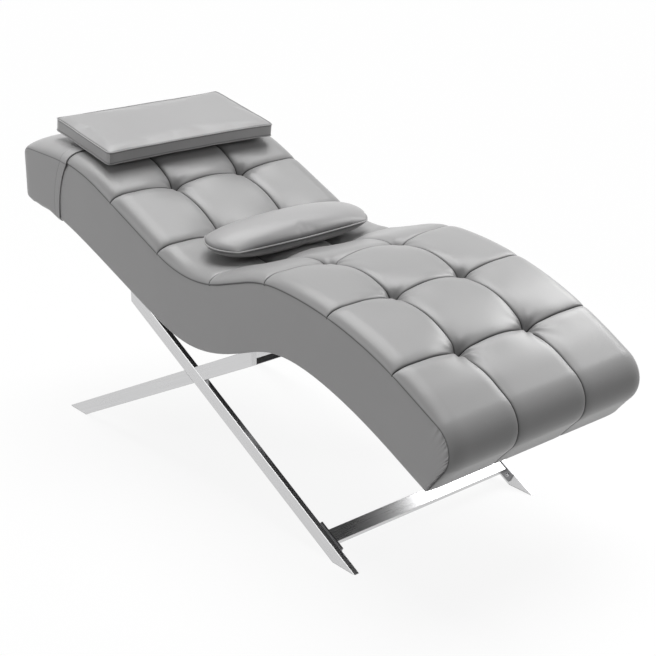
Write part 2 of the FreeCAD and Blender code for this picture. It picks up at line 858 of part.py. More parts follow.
for name, solids in nodes.items():
    shape = Part.makeCompound([solid for piece in solids for solid in piece.Solids])
    shape.exportStep(f"parts/{name}.step")
    box = shape.BoundBox
    print(
        name, len(shape.Solids), shape.isValid(), round(shape.Volume),
        [round(v, 1) for v in (box.XMin, box.XMax, box.YMin, box.YMax, box.ZMin, box.ZMax)],
    )
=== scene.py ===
"""Dresses an eyelash extension bed: quilted leatherette, loose pillows, steel base and a studio."""

import math

import bpy
import numpy as np
from bpy.props import FloatProperty, FloatVectorProperty, IntProperty, PointerProperty
from mathutils import Matrix, Vector
from mathutils.bvhtree import BVHTree


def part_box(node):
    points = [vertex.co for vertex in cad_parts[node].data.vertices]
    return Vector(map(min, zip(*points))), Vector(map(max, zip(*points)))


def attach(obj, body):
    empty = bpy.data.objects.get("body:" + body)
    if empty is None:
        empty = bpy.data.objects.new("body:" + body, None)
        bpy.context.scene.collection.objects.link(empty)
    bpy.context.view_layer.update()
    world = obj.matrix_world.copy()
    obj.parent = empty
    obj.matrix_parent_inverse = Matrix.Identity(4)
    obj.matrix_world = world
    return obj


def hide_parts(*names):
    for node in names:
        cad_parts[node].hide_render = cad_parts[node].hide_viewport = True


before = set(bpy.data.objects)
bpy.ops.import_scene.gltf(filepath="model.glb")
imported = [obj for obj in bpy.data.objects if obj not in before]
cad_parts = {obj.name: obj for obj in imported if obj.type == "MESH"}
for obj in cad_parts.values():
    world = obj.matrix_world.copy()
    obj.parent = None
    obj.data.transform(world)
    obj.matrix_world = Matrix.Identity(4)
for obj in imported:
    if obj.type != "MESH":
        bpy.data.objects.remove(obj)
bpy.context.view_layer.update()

bl_info = {
    "name": "Eyelash extension bed",
    "version": (1, 0, 0),
    "blender": (4, 5, 0),
    "location": "View3D > Sidebar > Lash bed",
    "description": "Builds the upholstery, finishes and studio of an eyelash extension bed",
    "category": "Add Mesh",
}


# Settings that a user would change

def length(name, description, default):
    """A size in metres."""
    return FloatProperty(name=name, description=description, default=default, unit="LENGTH", precision=4)


def turn(name, description, degrees):
    """An angle, written in degrees."""
    return FloatProperty(
        name=name, description=description, default=math.radians(degrees), subtype="ANGLE"
    )


def share(name, description, default):
    """A number from 0 to 1."""
    return FloatProperty(
        name=name, description=description, default=default, min=0, max=1, subtype="FACTOR"
    )


def spot(name, description, default):
    """A place in the scene."""
    return FloatVectorProperty(
        name=name, description=description, default=default, size=3, subtype="XYZ", unit="LENGTH"
    )


def direction(name, description, default):
    """A way that a light shines."""
    return FloatVectorProperty(
        name=name, description=description, default=default, size=3, subtype="DIRECTION"
    )


def brightness(name, description, default):
    """How strong a light is."""
    return FloatProperty(name=name, description=description, default=default, min=0)


def colour(name, description, default):
    """A colour, in linear light."""
    return FloatVectorProperty(
        name=name, description=description, default=default, size=3, min=0, max=1, subtype="COLOR"
    )


class SeamSizes(bpy.types.PropertyGroup):
    """The bed's side seam, walked from the head end."""

    width: length("Width", "Across the bed, over its side panels", 0.620)
    head_x: length("Head end", "Place of the head end along the bed", -0.837)
    head_z: length("Head height", "Height of the seam at the head end", 0.7305)
    head_flat: length("Head flat", "Level stretch at the head end", 0.148)
    crest_radius: length("Crest radius", "Round stretch under the head pillow", 0.565)
    crest_turn: turn("Crest turn", "Turn of the crest", 22.4)
    back: length("Back", "Straight slope of the back", 0.2805)
    waist_radius: length("Waist radius", "Hollow of the seat", 0.3745)
    waist_turn: turn("Waist turn", "Turn of the hollow", 41.0)
    thigh: length("Thigh", "Straight rise to the knee", 0.098)
    knee_radius: length("Knee radius", "Round stretch of the knee", 0.369)
    knee_turn: turn("Knee turn", "Turn of the knee", 20.1)
    calf_radius: length("Calf radius", "Long curve of the calf", 0.992)
    calf_turn: turn("Calf turn", "Turn of the calf", 24.9)
    calf: length("Calf", "Straight stretch before the foot end", 0.115)
    nose_radius: length("Nose radius", "Round foot end", 0.0645)
    nose_turn: turn("Nose turn", "Turn of the foot end", 100.8)
    foot_face: length("Foot face", "Straight face under the foot end", 0.082)
    head_pad: length("Head pad", "Thickness of the rounded pad at the head end", 0.025)


class TuftSizes(bpy.types.PropertyGroup):
    """The sewn squares of the top."""

    middle_column: length("Middle column", "Between the two seams along the bed", 0.219)
    rows: IntProperty(name="Rows", description="Seams across the bed", default=7, min=2)
    first_row: length("First seam", "Walk from the head end to the first seam across", 0.208)
    foot_tuft: length("Foot square", "Walk from the last seam across to the foot end's curve", 0.155)
    depth: length("Quilt depth", "Thickness of the quilted layer below the side seam", 0.028)
    crown: length("Crown", "Height of the head end's middle over the side seam", 0.0255)
    back_crown: length("Back crown", "Height of the squares of the back over the side seam", 0.0295)
    calf_crown: length("Calf crown", "Height of the squares of the legs over the side seam", 0.0240)
    nose_crown: length("Nose crown", "Height of the last squares round the foot end", 0.0155)
    tip_crown: length("Tip crown", "Height at the lower edge of the foot end", 0.004)
    crease: length("Crease", "How far a seam draws the cover in", 0.0080)
    crease_reach: length("Crease reach", "How far a seam's pull reaches into a square", 0.028)
    dimple: length("Dimple", "How much deeper the cover is drawn in where seams cross", 0.0350)
    pull: length("Pull", "How far the steep bowl of a dimple reaches", 0.0155)
    edge_round: length("Edge rounding", "How far the roll along the sides reaches in", 0.045)
    head_round: length("Head rounding", "How far the roll reaches in at the head end", 0.130)
    head_growth: length("Head growth", "Walk over which the crown grows at the head end", 0.060)
    head_blend: length("Head blend", "Walk over which the wide roll of the head end narrows", 0.120)
    head_bulge: length("Head bulge", "How far the padded head end swells outwards", 0.0020)
    groove: length("Groove", "Depth of the stitched groove in a seam", 0.0026)
    groove_width: length("Groove width", "Half width of the stitched groove", 0.0015)
    wrinkle: length("Wrinkle", "Height of the puckers round the crossings", 0.0016)


class PanelSizes(bpy.types.PropertyGroup):
    """The padded side panels, the head cover and the cloth below."""

    thickness: length("Panel thickness", "Thickness of a side panel", 0.010)
    roll: length("Roll", "How far down a panel's sewn edge is rounded", 0.022)
    lip: length("Lip", "How far a panel's sewn edge is drawn in", 0.0026)
    bulge: length("Bulge", "How far a panel swells in its middle", 0.0010)
    low_edge: length("Low edge", "Rounding of a panel's lower edge", 0.0035)
    cover: length("Cover", "Thickness of the head cover", 0.003)
    cover_mouth: length("Cover mouth", "Walk from the head end to the cover's edge, at the seam", 0.217)
    cover_lean: length("Cover lean", "How far the cover's edge leans back at its lower corner", 0.042)
    cover_corner: length("Cover corner", "Rounding of the head end along the bed", 0.026)
    side_corner: length("Side corner", "Rounding of the head end's upright corners", 0.004)
    top_corner: length("Top corner", "Rounding of the head end's upper corner", 0.030)
    low_corner: length("Low corner", "Rounding of the head end's lower corner", 0.018)
    hem: length("Hem", "From the cover's edge to its stitching", 0.029)
    stitch: length("Stitch", "Length of a stitch", 0.0034)
    dust_cloth: length("Dust cloth", "Thickness of the cloth under the body", 0.0012)


class PillowSizes(bpy.types.PropertyGroup):
    """The two loose pillows."""

    head_width: length("Head pillow width", "Across the bed", 0.529)
    head_depth: length("Head pillow depth", "Along the bed", 0.281)
    head_side: length("Head pillow side", "Height of its sides", 0.032)
    head_crown: length("Head pillow crown", "Swelling of its top", 0.009)
    head_sag: length("Head pillow sag", "Swelling of its underside", 0.024)
    head_place: length("Head pillow place", "Walk from the head end to its middle", 0.226)
    head_rise: length("Head pillow rise", "Its middle over the side seam", 0.057)
    head_shift: length("Head pillow shift", "How far it lies off the middle", 0.0045)
    head_tilt: turn("Head pillow tilt", "Its slope to the foot end", 8.5)
    head_yaw: turn("Head pillow yaw", "Its turn across the bed", 2.5)
    lumbar_length: length("Lumbar pillow length", "Across the bed", 0.486)
    lumbar_depth: length("Lumbar pillow depth", "Along the bed", 0.165)
    lumbar_height: length("Lumbar pillow height", "Between its two faces", 0.090)
    lumbar_bow: share("Lumbar pillow bow", "How far its sides draw in at the corners", 0.55)
    lumbar_place: length("Lumbar pillow place", "Walk from the head end to its middle", 0.792)
    lumbar_rise: length("Lumbar pillow rise", "Its middle over the side seam", 0.0665)
    lumbar_tilt: turn("Lumbar pillow tilt", "Its slope to the foot end", 3.0)
    lumbar_yaw: turn("Lumbar pillow yaw", "Its turn across the bed", 1.0)
    welt: length("Welt", "Radius of the sewn edges", 0.0021)


class Finishes(bpy.types.PropertyGroup):
    """Colours of the bed."""

    leatherette: colour("Leatherette", "Grey cover", (0.360, 0.357, 0.359))
    # The quilt is the same leatherette, toned darker as painted shade on the top
    quilt: colour("Quilt", "Grey cover of the tufted top", (0.302, 0.300, 0.301))
    thread: colour("Thread", "Stitching", (0.16, 0.16, 0.165))
    steel: colour("Steel", "Polished flat bars", (0.60, 0.60, 0.605))
    bolts: colour("Fasteners", "Bolts, washers and nuts", (0.45, 0.45, 0.46))
    # The plates' darker tone is a painted reflection of the dark underside
    plates: colour("Plates", "Joining plates of the base", (0.22, 0.22, 0.225))
    plywood: colour("Plywood", "Inner frame", (0.52, 0.36, 0.20))
    foam: colour("Foam", "Padding", (0.80, 0.74, 0.52))
    dust_cloth: colour("Dust cloth", "Cloth under the body", (0.030, 0.030, 0.031))
    rubber: colour("Rubber", "Foot pads", (0.02, 0.02, 0.02))
    floor: colour("Floor", "Studio floor", (0.34, 0.34, 0.34))


class StudioSettings(bpy.types.PropertyGroup):
    """The camera and the lights."""

    camera: spot("Camera", "Place of the camera", (2.7449, -2.3082, 1.7975))
    pitch: turn("Pitch", "How far the camera looks down", 21.719)
    heading: turn("Heading", "Turn of the camera about the upright", 49.059)
    roll: turn("Roll", "Turn of the camera about its own line of sight", 0.381)
    lens: FloatProperty(name="Lens", description="Focal length in millimetres", default=82.19)
    key_light: brightness("Key light", "Strength of the soft light overhead", 2.9)
    key_spread: turn("Key spread", "How wide the two soft lights are", 50)
    key_way: direction("Key way", "Where the light overhead shines to", (0.25, -0.22, -1.0))
    fill_light: brightness("Fill light", "Strength of the light on the near side", 1.0)
    fill_way: direction("Fill way", "Where the light on the near side shines to", (0.45, 1.0, -0.30))
    head_light: brightness("Head light", "Power of the panel light over the head end", 1.6)
    head_light_place: spot("Head light place", "Where the head light hangs", (-1.45, -0.65, 1.70))
    head_light_aim: spot("Head light aim", "What the head light points at", (-0.70, -0.25, 0.72))
    foot_light: brightness("Foot light", "Power of the panel light behind the foot end", 8.5)
    foot_light_place: spot("Foot light place", "Where the foot light hangs", (0.52, 1.20, 1.25))
    foot_light_aim: spot("Foot light aim", "What the foot light points at", (0.72, 0.0, 0.55))
    panel_light_size: length("Panel light size", "Side of the two panel lights", 0.7)
    ambient: brightness("Ambient", "Strength of the light from all round", 0.10)


class LashBedSettings(bpy.types.PropertyGroup):
    """Everything that can be set on the bed."""

    seam: PointerProperty(type=SeamSizes)
    tufts: PointerProperty(type=TuftSizes)
    panels: PointerProperty(type=PanelSizes)
    pillows: PointerProperty(type=PillowSizes)
    finishes: PointerProperty(type=Finishes)
    studio: PointerProperty(type=StudioSettings)


# Shape of the bed

# The body's depth is felt out by a ray that starts below the seam and keeps off the panel's ends
PROBE_START = 0.06
PROBE_MARGIN = 0.0002
# Room between the side panels and what lies between them
INSIDE_GAP = 0.001


class BedLine:
    """The side seam of the bed, and the places that are measured from it."""

    def __init__(self, settings):
        seam = settings.seam
        moves = [
            (seam.head_flat, 0),
            (seam.crest_radius, -seam.crest_turn),
            (seam.back, 0),
            (seam.waist_radius, seam.waist_turn),
            (seam.thigh, 0),
            (seam.knee_radius, -seam.knee_turn),
            (seam.calf_radius, -seam.calf_turn),
            (seam.calf, 0),
            (seam.nose_radius, -seam.nose_turn),
            (seam.foot_face, 0),
        ]
        stretches = []
        x, z, heading, start = seam.head_x, seam.head_z, 0.0, 0.0
        for size, bend in moves:
            stretches.append((start, x, z, heading, size, bend))
            run = size * abs(bend) if bend else size
            if bend:
                radius = math.copysign(size, bend)
                x += radius * (math.sin(heading + bend) - math.sin(heading))
                z -= radius * (math.cos(heading + bend) - math.cos(heading))
                heading += bend
            else:
                x += run * math.cos(heading)
                z += run * math.sin(heading)
            start += run
        self.stretches = np.array(stretches)
        self.end = start
        self.nose_start = self.stretches[-2, 0]
        self.nose_end = self.stretches[-1, 0]
        self.half = seam.width / 2
        self.inside = self.half - settings.panels.thickness - INSIDE_GAP
        self.pad = seam.head_pad
        tufts = settings.tufts
        self.channel = tufts.middle_column / 2
        self.last_row = self.nose_start - tufts.foot_tuft
        self.rows = np.linspace(tufts.first_row, self.last_row, tufts.rows)
        self.pitch = self.rows[1] - self.rows[0]
        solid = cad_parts["right_side_panel"].data
        self.panel = BVHTree.FromPolygons(
            [vertex.co for vertex in solid.vertices], [tuple(face.vertices) for face in solid.polygons]
        )
        self.panel_y = -self.half + settings.panels.thickness / 2
        self.tip = self.place(self.end, 0, 0)
        self.nose_low = self.place(self.nose_start, 0, -self.depth(self.nose_start))

    def walk(self, s):
        """Place and heading of the seam after walking s."""
        s = np.asarray(s, float)
        k = np.clip(np.searchsorted(self.stretches[:, 0], s, side="right") - 1, 0, len(self.stretches) - 1)
        start, x, z, heading, size, bend = np.moveaxis(self.stretches[k], -1, 0)
        run = s - start
        straight = bend == 0
        radius = np.where(straight, 1, np.copysign(size, bend))
        headed = heading + np.where(straight, 0, run / radius)
        round_x = x + radius * (np.sin(headed) - np.sin(heading))
        round_z = z - radius * (np.cos(headed) - np.cos(heading))
        return (
            np.where(straight, x + run * np.cos(heading), round_x),
            np.where(straight, z + run * np.sin(heading), round_z),
            headed,
        )

    def place(self, s, y, rise):
        """Points over the seam: walked s, across y and raised square to the seam."""
        s, y, rise = np.broadcast_arrays(np.asarray(s, float), np.asarray(y, float), np.asarray(rise, float))
        x, z, heading = self.walk(s)
        return np.stack([x - rise * np.sin(heading), y, z + rise * np.cos(heading)], axis=-1)

    def depth(self, s):
        """Depth of the body below the seam, felt out on the side panel's solid."""
        s = min(max(float(s), self.pad + PROBE_MARGIN), self.nose_start - PROBE_MARGIN)
        start = self.place(s, self.panel_y, -PROBE_START)
        _, _, heading = self.walk(s)
        way = Vector((math.sin(heading), 0, -math.cos(heading)))
        hit = self.panel.ray_cast(Vector(start), way)
        return PROBE_START + hit[3]

    def under(self, s):
        """Points of the underside that face the seam's points."""
        s = np.asarray(s, float)
        inner = np.minimum(s, self.nose_start)
        depths = np.array([self.depth(v) for v in inner.ravel()]).reshape(inner.shape)
        points = self.place(inner, 0, -depths)
        past = np.clip((s - self.nose_start) / (self.end - self.nose_start), 0, 1)[..., None]
        return points + (self.tip - self.nose_low) * past

    def surface_z(self, x, y, rise):
        """Height of the top at a plan place: rise(s, y) is how high it stands over the seam."""
        sample_count, rounds = 400, 4
        samples = np.linspace(0, self.nose_start, sample_count)
        s = np.interp(x, self.walk(samples)[0], samples)
        for _ in range(rounds):
            points = self.place(s, y, rise(s, y))
            s = np.clip(s + (x - points[..., 0]) / np.cos(self.walk(s)[2]), 0, self.nose_start)
        return self.place(s, y, rise(s, y))[..., 2]


def crowded(start, end, count, crowd=0.93):
    """Places from start to end that crowd together at both ends."""
    even = np.linspace(0, 1, count + 1)
    soft = (1 - np.cos(np.pi * even)) / 2
    return start + (end - start) * (even * (1 - crowd) + soft * crowd)


def joined(*stretches):
    """Stretches of places end to end, with shared ends kept once."""
    return np.concatenate([stretches[0]] + [stretch[1:] for stretch in stretches[1:]])


def bell(distance, reach):
    """1 at a place, falling off smoothly over a reach."""
    return np.exp(-((distance / reach) ** 2))


def eased(part):
    """A part from 0 to 1 that starts and ends softly."""
    part = np.clip(part, 0, 1)
    return part * part * (3 - 2 * part)


def rounded_off(distance, reach):
    """1 at a seam, falling to 0 over a reach as the round edge of a pad does."""
    return 1 - np.sqrt(1 - (1 - np.clip(distance / reach, 0, 1)) ** 2)


def cusp(part):
    """1 at a crossing, falling in a curve to 0 one part away."""
    return 1 - np.sin(np.pi / 2 * np.clip(part, 0, 1))


class Quilt:
    """Heights of the tufted top over the side seam."""

    # Walk over which the seams along the bed begin
    channel_start = 0.004
    # The crown sinks from a share of the foot squares to just past the nose's start, and on to its tip
    full_share = 0.45
    nose_reach = 0.045
    tip_start = 0.03
    # Rows over which the back's crown changes to that of the legs
    calf_rows = 1.5
    # How quickly the wide roll of the head end narrows
    head_fade = 1.5
    # Painted shade along the sides, its width in groove widths, and painted shade in the hollows where seams
    # cross
    side_shade_width = 1.8
    hollow_painted_shade = 0.28
    hollow_shade_reach = 0.032
    # Folds round the crossings: where they start and end, and how much stronger they are on the foot squares
    fold_start = 0.014
    fold_reach = 0.042
    foot_folds = 1.3
    fewest_folds = 6
    fold_shift = 1.7
    # A crossing is a wide bowl with a steep pit in it
    bowl_share = 0.58
    pit_share = 0.42

    def __init__(self, settings, line):
        self.tufts = settings.tufts
        self.line = line

    def to_row(self, s):
        """Walk to the nearest seam across, without the first, which lies under the head cover."""
        return np.min(np.abs(s[..., None] - self.line.rows[1:]), axis=-1)

    def to_channel(self, y):
        """Distance to the nearer seam along the bed."""
        return np.abs(np.abs(y) - self.line.channel)

    def channels_on(self, s):
        """1 where the seams along the bed are sewn, from the first seam across."""
        return np.clip((s - self.line.rows[0] + self.channel_start) / self.channel_start, 0, 1)

    def crown(self, s):
        """Height of the squares' middles over the side seam."""
        tufts, line = self.tufts, self.line
        top = line.last_row + tufts.foot_tuft * self.full_share
        to_nose = eased((s - top) / (line.nose_start + self.nose_reach - top))
        to_tip = eased((s - line.nose_start - self.tip_start) / (line.end - line.nose_start - self.tip_start))
        to_back = eased((s - line.rows[0]) / line.pitch)
        to_calf = eased((s - line.rows[2]) / (self.calf_rows * line.pitch))
        return (
            tufts.crown
            + (tufts.back_crown - tufts.crown) * to_back
            + (tufts.calf_crown - tufts.back_crown) * to_calf
            + (tufts.nose_crown - tufts.calf_crown) * to_nose
            + (tufts.tip_crown - tufts.nose_crown) * to_tip
        )

    def rolled(self, s, y):
        """Share of the crown that is left: rolled off along the sides, and more widely at the head end."""
        tufts = self.tufts
        from_end = s + tufts.head_bulge
        wide = (1 - np.clip(from_end / tufts.head_blend, 0, 1)) ** self.head_fade
        reach = tufts.edge_round + (tufts.head_round - tufts.edge_round) * wide
        edge = np.clip((self.line.half - np.abs(y)) / reach, 0, 1)
        grown = np.clip(from_end / tufts.head_growth, 0, 1)
        return np.sqrt(1 - (1 - edge) ** 2) * np.sqrt(1 - (1 - grown) ** 2)

    def stitched(self, s, y):
        """1 in the stitched grooves, 0 away from them."""
        row = bell(self.to_row(s), self.tufts.groove_width)
        channel = bell(self.to_channel(y), self.tufts.groove_width) * self.channels_on(s)
        return np.maximum(row, channel)

    def seam(self, s, y):
        """How much painted shade the seams get, those along the sides among them, and the hollows where seams
        cross.
        """
        from_side = np.hypot(self.line.half - np.abs(y), self.rolled(s, y) * self.crown(s))
        # Painted shade that darkens the hollows round each crossing, where shade falls
        hollow = self.hollow_painted_shade * bell(np.hypot(self.to_row(s), self.to_channel(y)), self.hollow_shade_reach)
        side = bell(from_side, self.tufts.groove_width * self.side_shade_width)
        return np.maximum(np.maximum(self.stitched(s, y), side), hollow)

    def puckers(self, s, y):
        """Small folds that spread from the crossings, strongest on the foot squares."""
        folds = np.zeros(np.broadcast(s, y).shape)
        last = len(self.line.rows) - 1
        for k, row in enumerate(self.line.rows[1:], 1):
            for side in (-1, 1):
                ds, dy = s - row, y - side * self.line.channel
                away = np.hypot(ds, dy)
                angle = np.arctan2(dy, ds)
                count = self.fewest_folds + (3 * k + side) % 4
                fan = np.cos(count * angle + self.fold_shift * k + side)
                strength = 1 + self.foot_folds * (k == last) * (ds > 0)
                folds += strength * fan * bell(away, self.fold_reach) * (1 - bell(away, self.fold_start))
        return folds * self.tufts.wrinkle

    def rise(self, s, y):
        """Height of the cover over the seam at walked s and across y."""
        s, y = np.broadcast_arrays(np.asarray(s, float), np.asarray(y, float))
        tufts, line = self.tufts, self.line
        crown = self.crown(s)
        to_row, to_channel = self.to_row(s), self.to_channel(y)
        drawn = 1 - (1 - rounded_off(to_row, tufts.crease_reach)) * (
            1 - rounded_off(to_channel, tufts.crease_reach) * self.channels_on(s)
        )
        broad = cusp(to_row / (line.pitch / 2)) * cusp(to_channel / line.channel)
        pit = bell(np.hypot(to_row, to_channel), tufts.pull)
        crossing = self.bowl_share * broad + self.pit_share * pit
        swelling = self.rolled(s, y) * (crown - tufts.crease * drawn * crown / tufts.crown)
        grooves = tufts.groove * self.stitched(s, y)
        return swelling - tufts.dimple * crossing - grooves + self.puckers(s, y)


# Making of meshes

# Points nearer than this are one point
SAME_PLACE = 1e-6


def skinned(name, rings, seam=None, smooth_angle=50):
    """A closed skin through rings of points: a grid wrapped round them, with its open ends filled."""
    count, around = rings.shape[:2]
    bpy.ops.object.select_all(action="DESELECT")
    bpy.ops.mesh.primitive_grid_add(x_subdivisions=count - 1, y_subdivisions=around, size=2)
    piece = bpy.context.object
    piece.name = piece.data.name = name
    flat = points_of(piece.data)
    along = np.rint((flat[:, 0] + 1) / 2 * (count - 1)).astype(int)
    about = np.rint((flat[:, 1] + 1) / 2 * around).astype(int) % around
    piece.data.vertices.foreach_set("co", rings[along, about].astype(np.float32).ravel())
    if seam is not None:
        mark = piece.data.attributes.new("seam", "FLOAT", "POINT")
        mark.data.foreach_set("value", seam[along, about].astype(np.float32))
    bpy.ops.object.mode_set(mode="EDIT")
    bpy.ops.mesh.select_all(action="SELECT")
    bpy.ops.mesh.remove_doubles(threshold=SAME_PLACE)
    bpy.ops.mesh.fill_holes(sides=0)
    bpy.ops.mesh.select_all(action="SELECT")
    bpy.ops.mesh.normals_make_consistent(inside=False)
    bpy.ops.object.mode_set(mode="OBJECT")
    bpy.ops.object.shade_smooth_by_angle(angle=math.radians(smooth_angle))
    return piece


def points_of(mesh):
    """A mesh's vertices as rows of three."""
    flat = np.empty(len(mesh.vertices) * 3, np.float32)
    mesh.vertices.foreach_get("co", flat)
    return flat.reshape(-1, 3).astype(float)


def set_points(piece, points):
    """Puts the piece's vertices in new places."""
    piece.data.vertices.foreach_set("co", points.astype(np.float32).ravel())
    piece.data.update()


def turned(points, tilt, yaw):
    """Points tipped about the width and then turned about the upright."""
    x = points[..., 0] * math.cos(tilt) + points[..., 2] * math.sin(tilt)
    z = points[..., 2] * math.cos(tilt) - points[..., 0] * math.sin(tilt)
    y = points[..., 1]
    return np.stack(
        [x * math.cos(yaw) - y * math.sin(yaw), x * math.sin(yaw) + y * math.cos(yaw), z], axis=-1
    )


# A move shorter than this is none
NO_MOVE = 1e-9


def puffed(piece, pressure, cap, frames=20):
    """Blows a closed skin up as cloth, and lets no point move further than the cap."""
    start = points_of(piece.data)
    scene = bpy.context.scene
    cloth = piece.modifiers.new("Cloth", "CLOTH")
    cloth.settings.quality = 6
    cloth.settings.mass = 0.2
    cloth.settings.tension_stiffness = 25
    cloth.settings.compression_stiffness = 25
    cloth.settings.shear_stiffness = 12
    cloth.settings.bending_stiffness = 1.5
    cloth.settings.use_pressure = True
    cloth.settings.uniform_pressure_force = pressure
    cloth.settings.effector_weights.gravity = 0
    cloth.collision_settings.use_collision = False
    for step in range(1, frames + 1):
        scene.frame_set(step)
    blown = piece.evaluated_get(bpy.context.evaluated_depsgraph_get()).to_mesh()
    moved = points_of(blown) - start
    far = np.linalg.norm(moved, axis=1, keepdims=True)
    piece.modifiers.remove(cloth)
    scene.frame_set(1)
    set_points(piece, start + moved * np.minimum(1, cap / np.maximum(far, NO_MOVE)))


def welt(name, path, radius):
    """A round sewn edge along a closed path of points."""
    ahead = np.roll(path, -1, axis=0) - np.roll(path, 1, axis=0)
    ahead /= np.linalg.norm(ahead, axis=1, keepdims=True)
    up = np.cross(ahead, np.array([0.0, 0.0, 1.0]))
    up /= np.linalg.norm(up, axis=1, keepdims=True)
    side = np.cross(ahead, up)
    sides = 8
    angles = np.linspace(0, 2 * np.pi, sides + 1)[:-1]
    rings = np.stack([path + radius * (np.cos(a) * up + np.sin(a) * side) for a in angles], axis=1)
    return skinned(name, np.concatenate([rings, rings[:1]]), smooth_angle=80)


def dressed(piece, body, material, *nodes, fill=None, slot=None):
    """Gives a piece its finish, its body and the CAD nodes that it stands for."""
    piece.data.materials.clear()
    piece.data.materials.append(material)
    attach(piece, body)
    if nodes:
        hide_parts(*nodes)
    return piece


# Finishes

class Value:
    """A shader socket that takes part in Python sums."""

    def __init__(self, maker, socket):
        self.maker = maker
        self.socket = socket

    def sum(self, operation, first, second):
        """One step of a sum, as a node."""
        return self.maker.node("ShaderNodeMath", {"operation": operation}, {0: first, 1: second})[0]

    def __add__(self, other):
        return self.sum("ADD", self, other)

    def __radd__(self, other):
        return self.sum("ADD", other, self)

    def __sub__(self, other):
        return self.sum("SUBTRACT", self, other)

    def __rsub__(self, other):
        return self.sum("SUBTRACT", other, self)

    def __mul__(self, other):
        return self.sum("MULTIPLY", self, other)

    def __rmul__(self, other):
        return self.sum("MULTIPLY", other, self)


class FinishMaker:
    """Builds one material, node by node."""

    def __init__(self, name):
        self.material = bpy.data.materials.new(name)
        self.material.use_nodes = True
        self.tree = self.material.node_tree
        self.tree.nodes.clear()

    def node(self, kind, options=None, sockets=None):
        """Adds a node, sets its options, then the values or links of its sockets, and gives its outputs."""
        made = self.tree.nodes.new(kind)
        for key, value in (options or {}).items():
            setattr(made, key, value)
        for key, value in (sockets or {}).items():
            socket = made.inputs[key]
            if isinstance(value, Value):
                self.tree.links.new(value.socket, socket)
            else:
                socket.default_value = value
        return [Value(self, output) for output in made.outputs]

    def object_place(self):
        """Object coordinates."""
        return self.node("ShaderNodeTexCoord")[3]

    def stretched(self, scale, rotation=(0, 0, 0)):
        """The object's place, turned and then stretched."""
        turned_place = self.node(
            "ShaderNodeMapping", {"vector_type": "TEXTURE"},
            {"Vector": self.object_place(), "Rotation": rotation},
        )[0]
        return self.node("ShaderNodeMapping", None, {"Vector": turned_place, "Scale": scale})[0]

    def noise(self, scale, detail=2.0, place=None):
        """Soft random patches, 0 to 1."""
        return self.node(
            "ShaderNodeTexNoise", None,
            {"Vector": place or self.object_place(), "Scale": scale, "Detail": detail},
        )[0]

    def mix(self, factor, first, second):
        """A colour between two, by a factor."""
        return self.node("ShaderNodeMix", {"data_type": "RGBA"}, {0: factor, 6: first, 7: second})[2]

    def tones(self, factor, tone, dark, light):
        """A colour that a factor takes from a darker to a lighter share of a tone."""
        return self.mix(factor, scaled(tone, dark), scaled(tone, light))

    def bump(self, height, strength, distance):
        """Normals of a fine relief."""
        return self.node(
            "ShaderNodeBump", None, {"Height": height, "Strength": strength, "Distance": distance}
        )[0]

    def shade(self, **sockets):
        """Ends the material in a shader with these sockets."""
        named = {key.replace("_", " "): value for key, value in sockets.items()}
        shader = self.node("ShaderNodeBsdfPrincipled", None, named)[0]
        self.node("ShaderNodeOutputMaterial", None, {"Surface": shader})
        return self.material


def scaled(tone, factor):
    """A colour made lighter or darker, with its alpha."""
    return (*(min(1.0, part * factor) for part in tone), 1)


FINISHES = {}


def finish(make):
    """Makes a finish once and hands it out after that."""
    def once(settings):
        if make.__name__ not in FINISHES:
            FINISHES[make.__name__] = make(settings.finishes)
        return FINISHES[make.__name__]
    return once


def coated_cloth(name, tone):
    """Soft coated cloth with a fine pebble grain, with painted shade where its seam mark is set: in seams,
    grooves and gaps.
    """
    maker = FinishMaker(name)
    seam = maker.node("ShaderNodeAttribute", {"attribute_name": "seam"})[2]
    pebbles = maker.node(
        "ShaderNodeTexVoronoi", {"feature": "SMOOTH_F1"},
        {"Vector": maker.object_place(), "Scale": 620.0, "Smoothness": 0.6},
    )[0]
    pores = maker.noise(1500.0, 3.0)
    patches = maker.noise(5.0, 3.0)
    cloud = maker.tones(patches, tone, 0.95, 1.05)
    grain = pebbles * 0.8 + pores * 0.35
    return maker.shade(
        # The seam mark paints shade into the colour, down to nearly black
        Base_Color=maker.mix(seam * 0.97, cloud, scaled(tone, 0.03)),
        Roughness=patches * 0.10 + pores * 0.08 + seam * 0.25 + 0.26,
        Specular_IOR_Level=0.46,
        Normal=maker.bump(grain, 0.22, 0.0006),
    )


@finish
def leatherette(finishes):
    """Cover of the pillows, the side panels and the head end."""
    return coated_cloth("grey_leatherette", finishes.leatherette)


@finish
def quilt_leatherette_painted_shade(finishes):
    """Cover of the tufted top: the same cloth, toned darker as painted shade over the whole top."""
    return coated_cloth("quilted_leatherette_painted_shade", finishes.quilt)


def speckled(name, tone, noise, shares, roughness, relief, metallic=0.0):
    """A finish with one fine speckle in its colour, its gloss and its relief."""
    maker = FinishMaker(name)
    speckle = maker.noise(*noise)
    return maker.shade(
        Base_Color=maker.tones(speckle, tone, *shares),
        Metallic=metallic,
        Roughness=speckle * 0.2 + roughness,
        Normal=maker.bump(speckle, *relief),
    )


@finish
def thread(finishes):
    """Twisted sewing thread."""
    return speckled("sewing_thread", finishes.thread, (2400.0, 2.0), (0.7, 1.3), 0.55, (0.3, 0.0003))


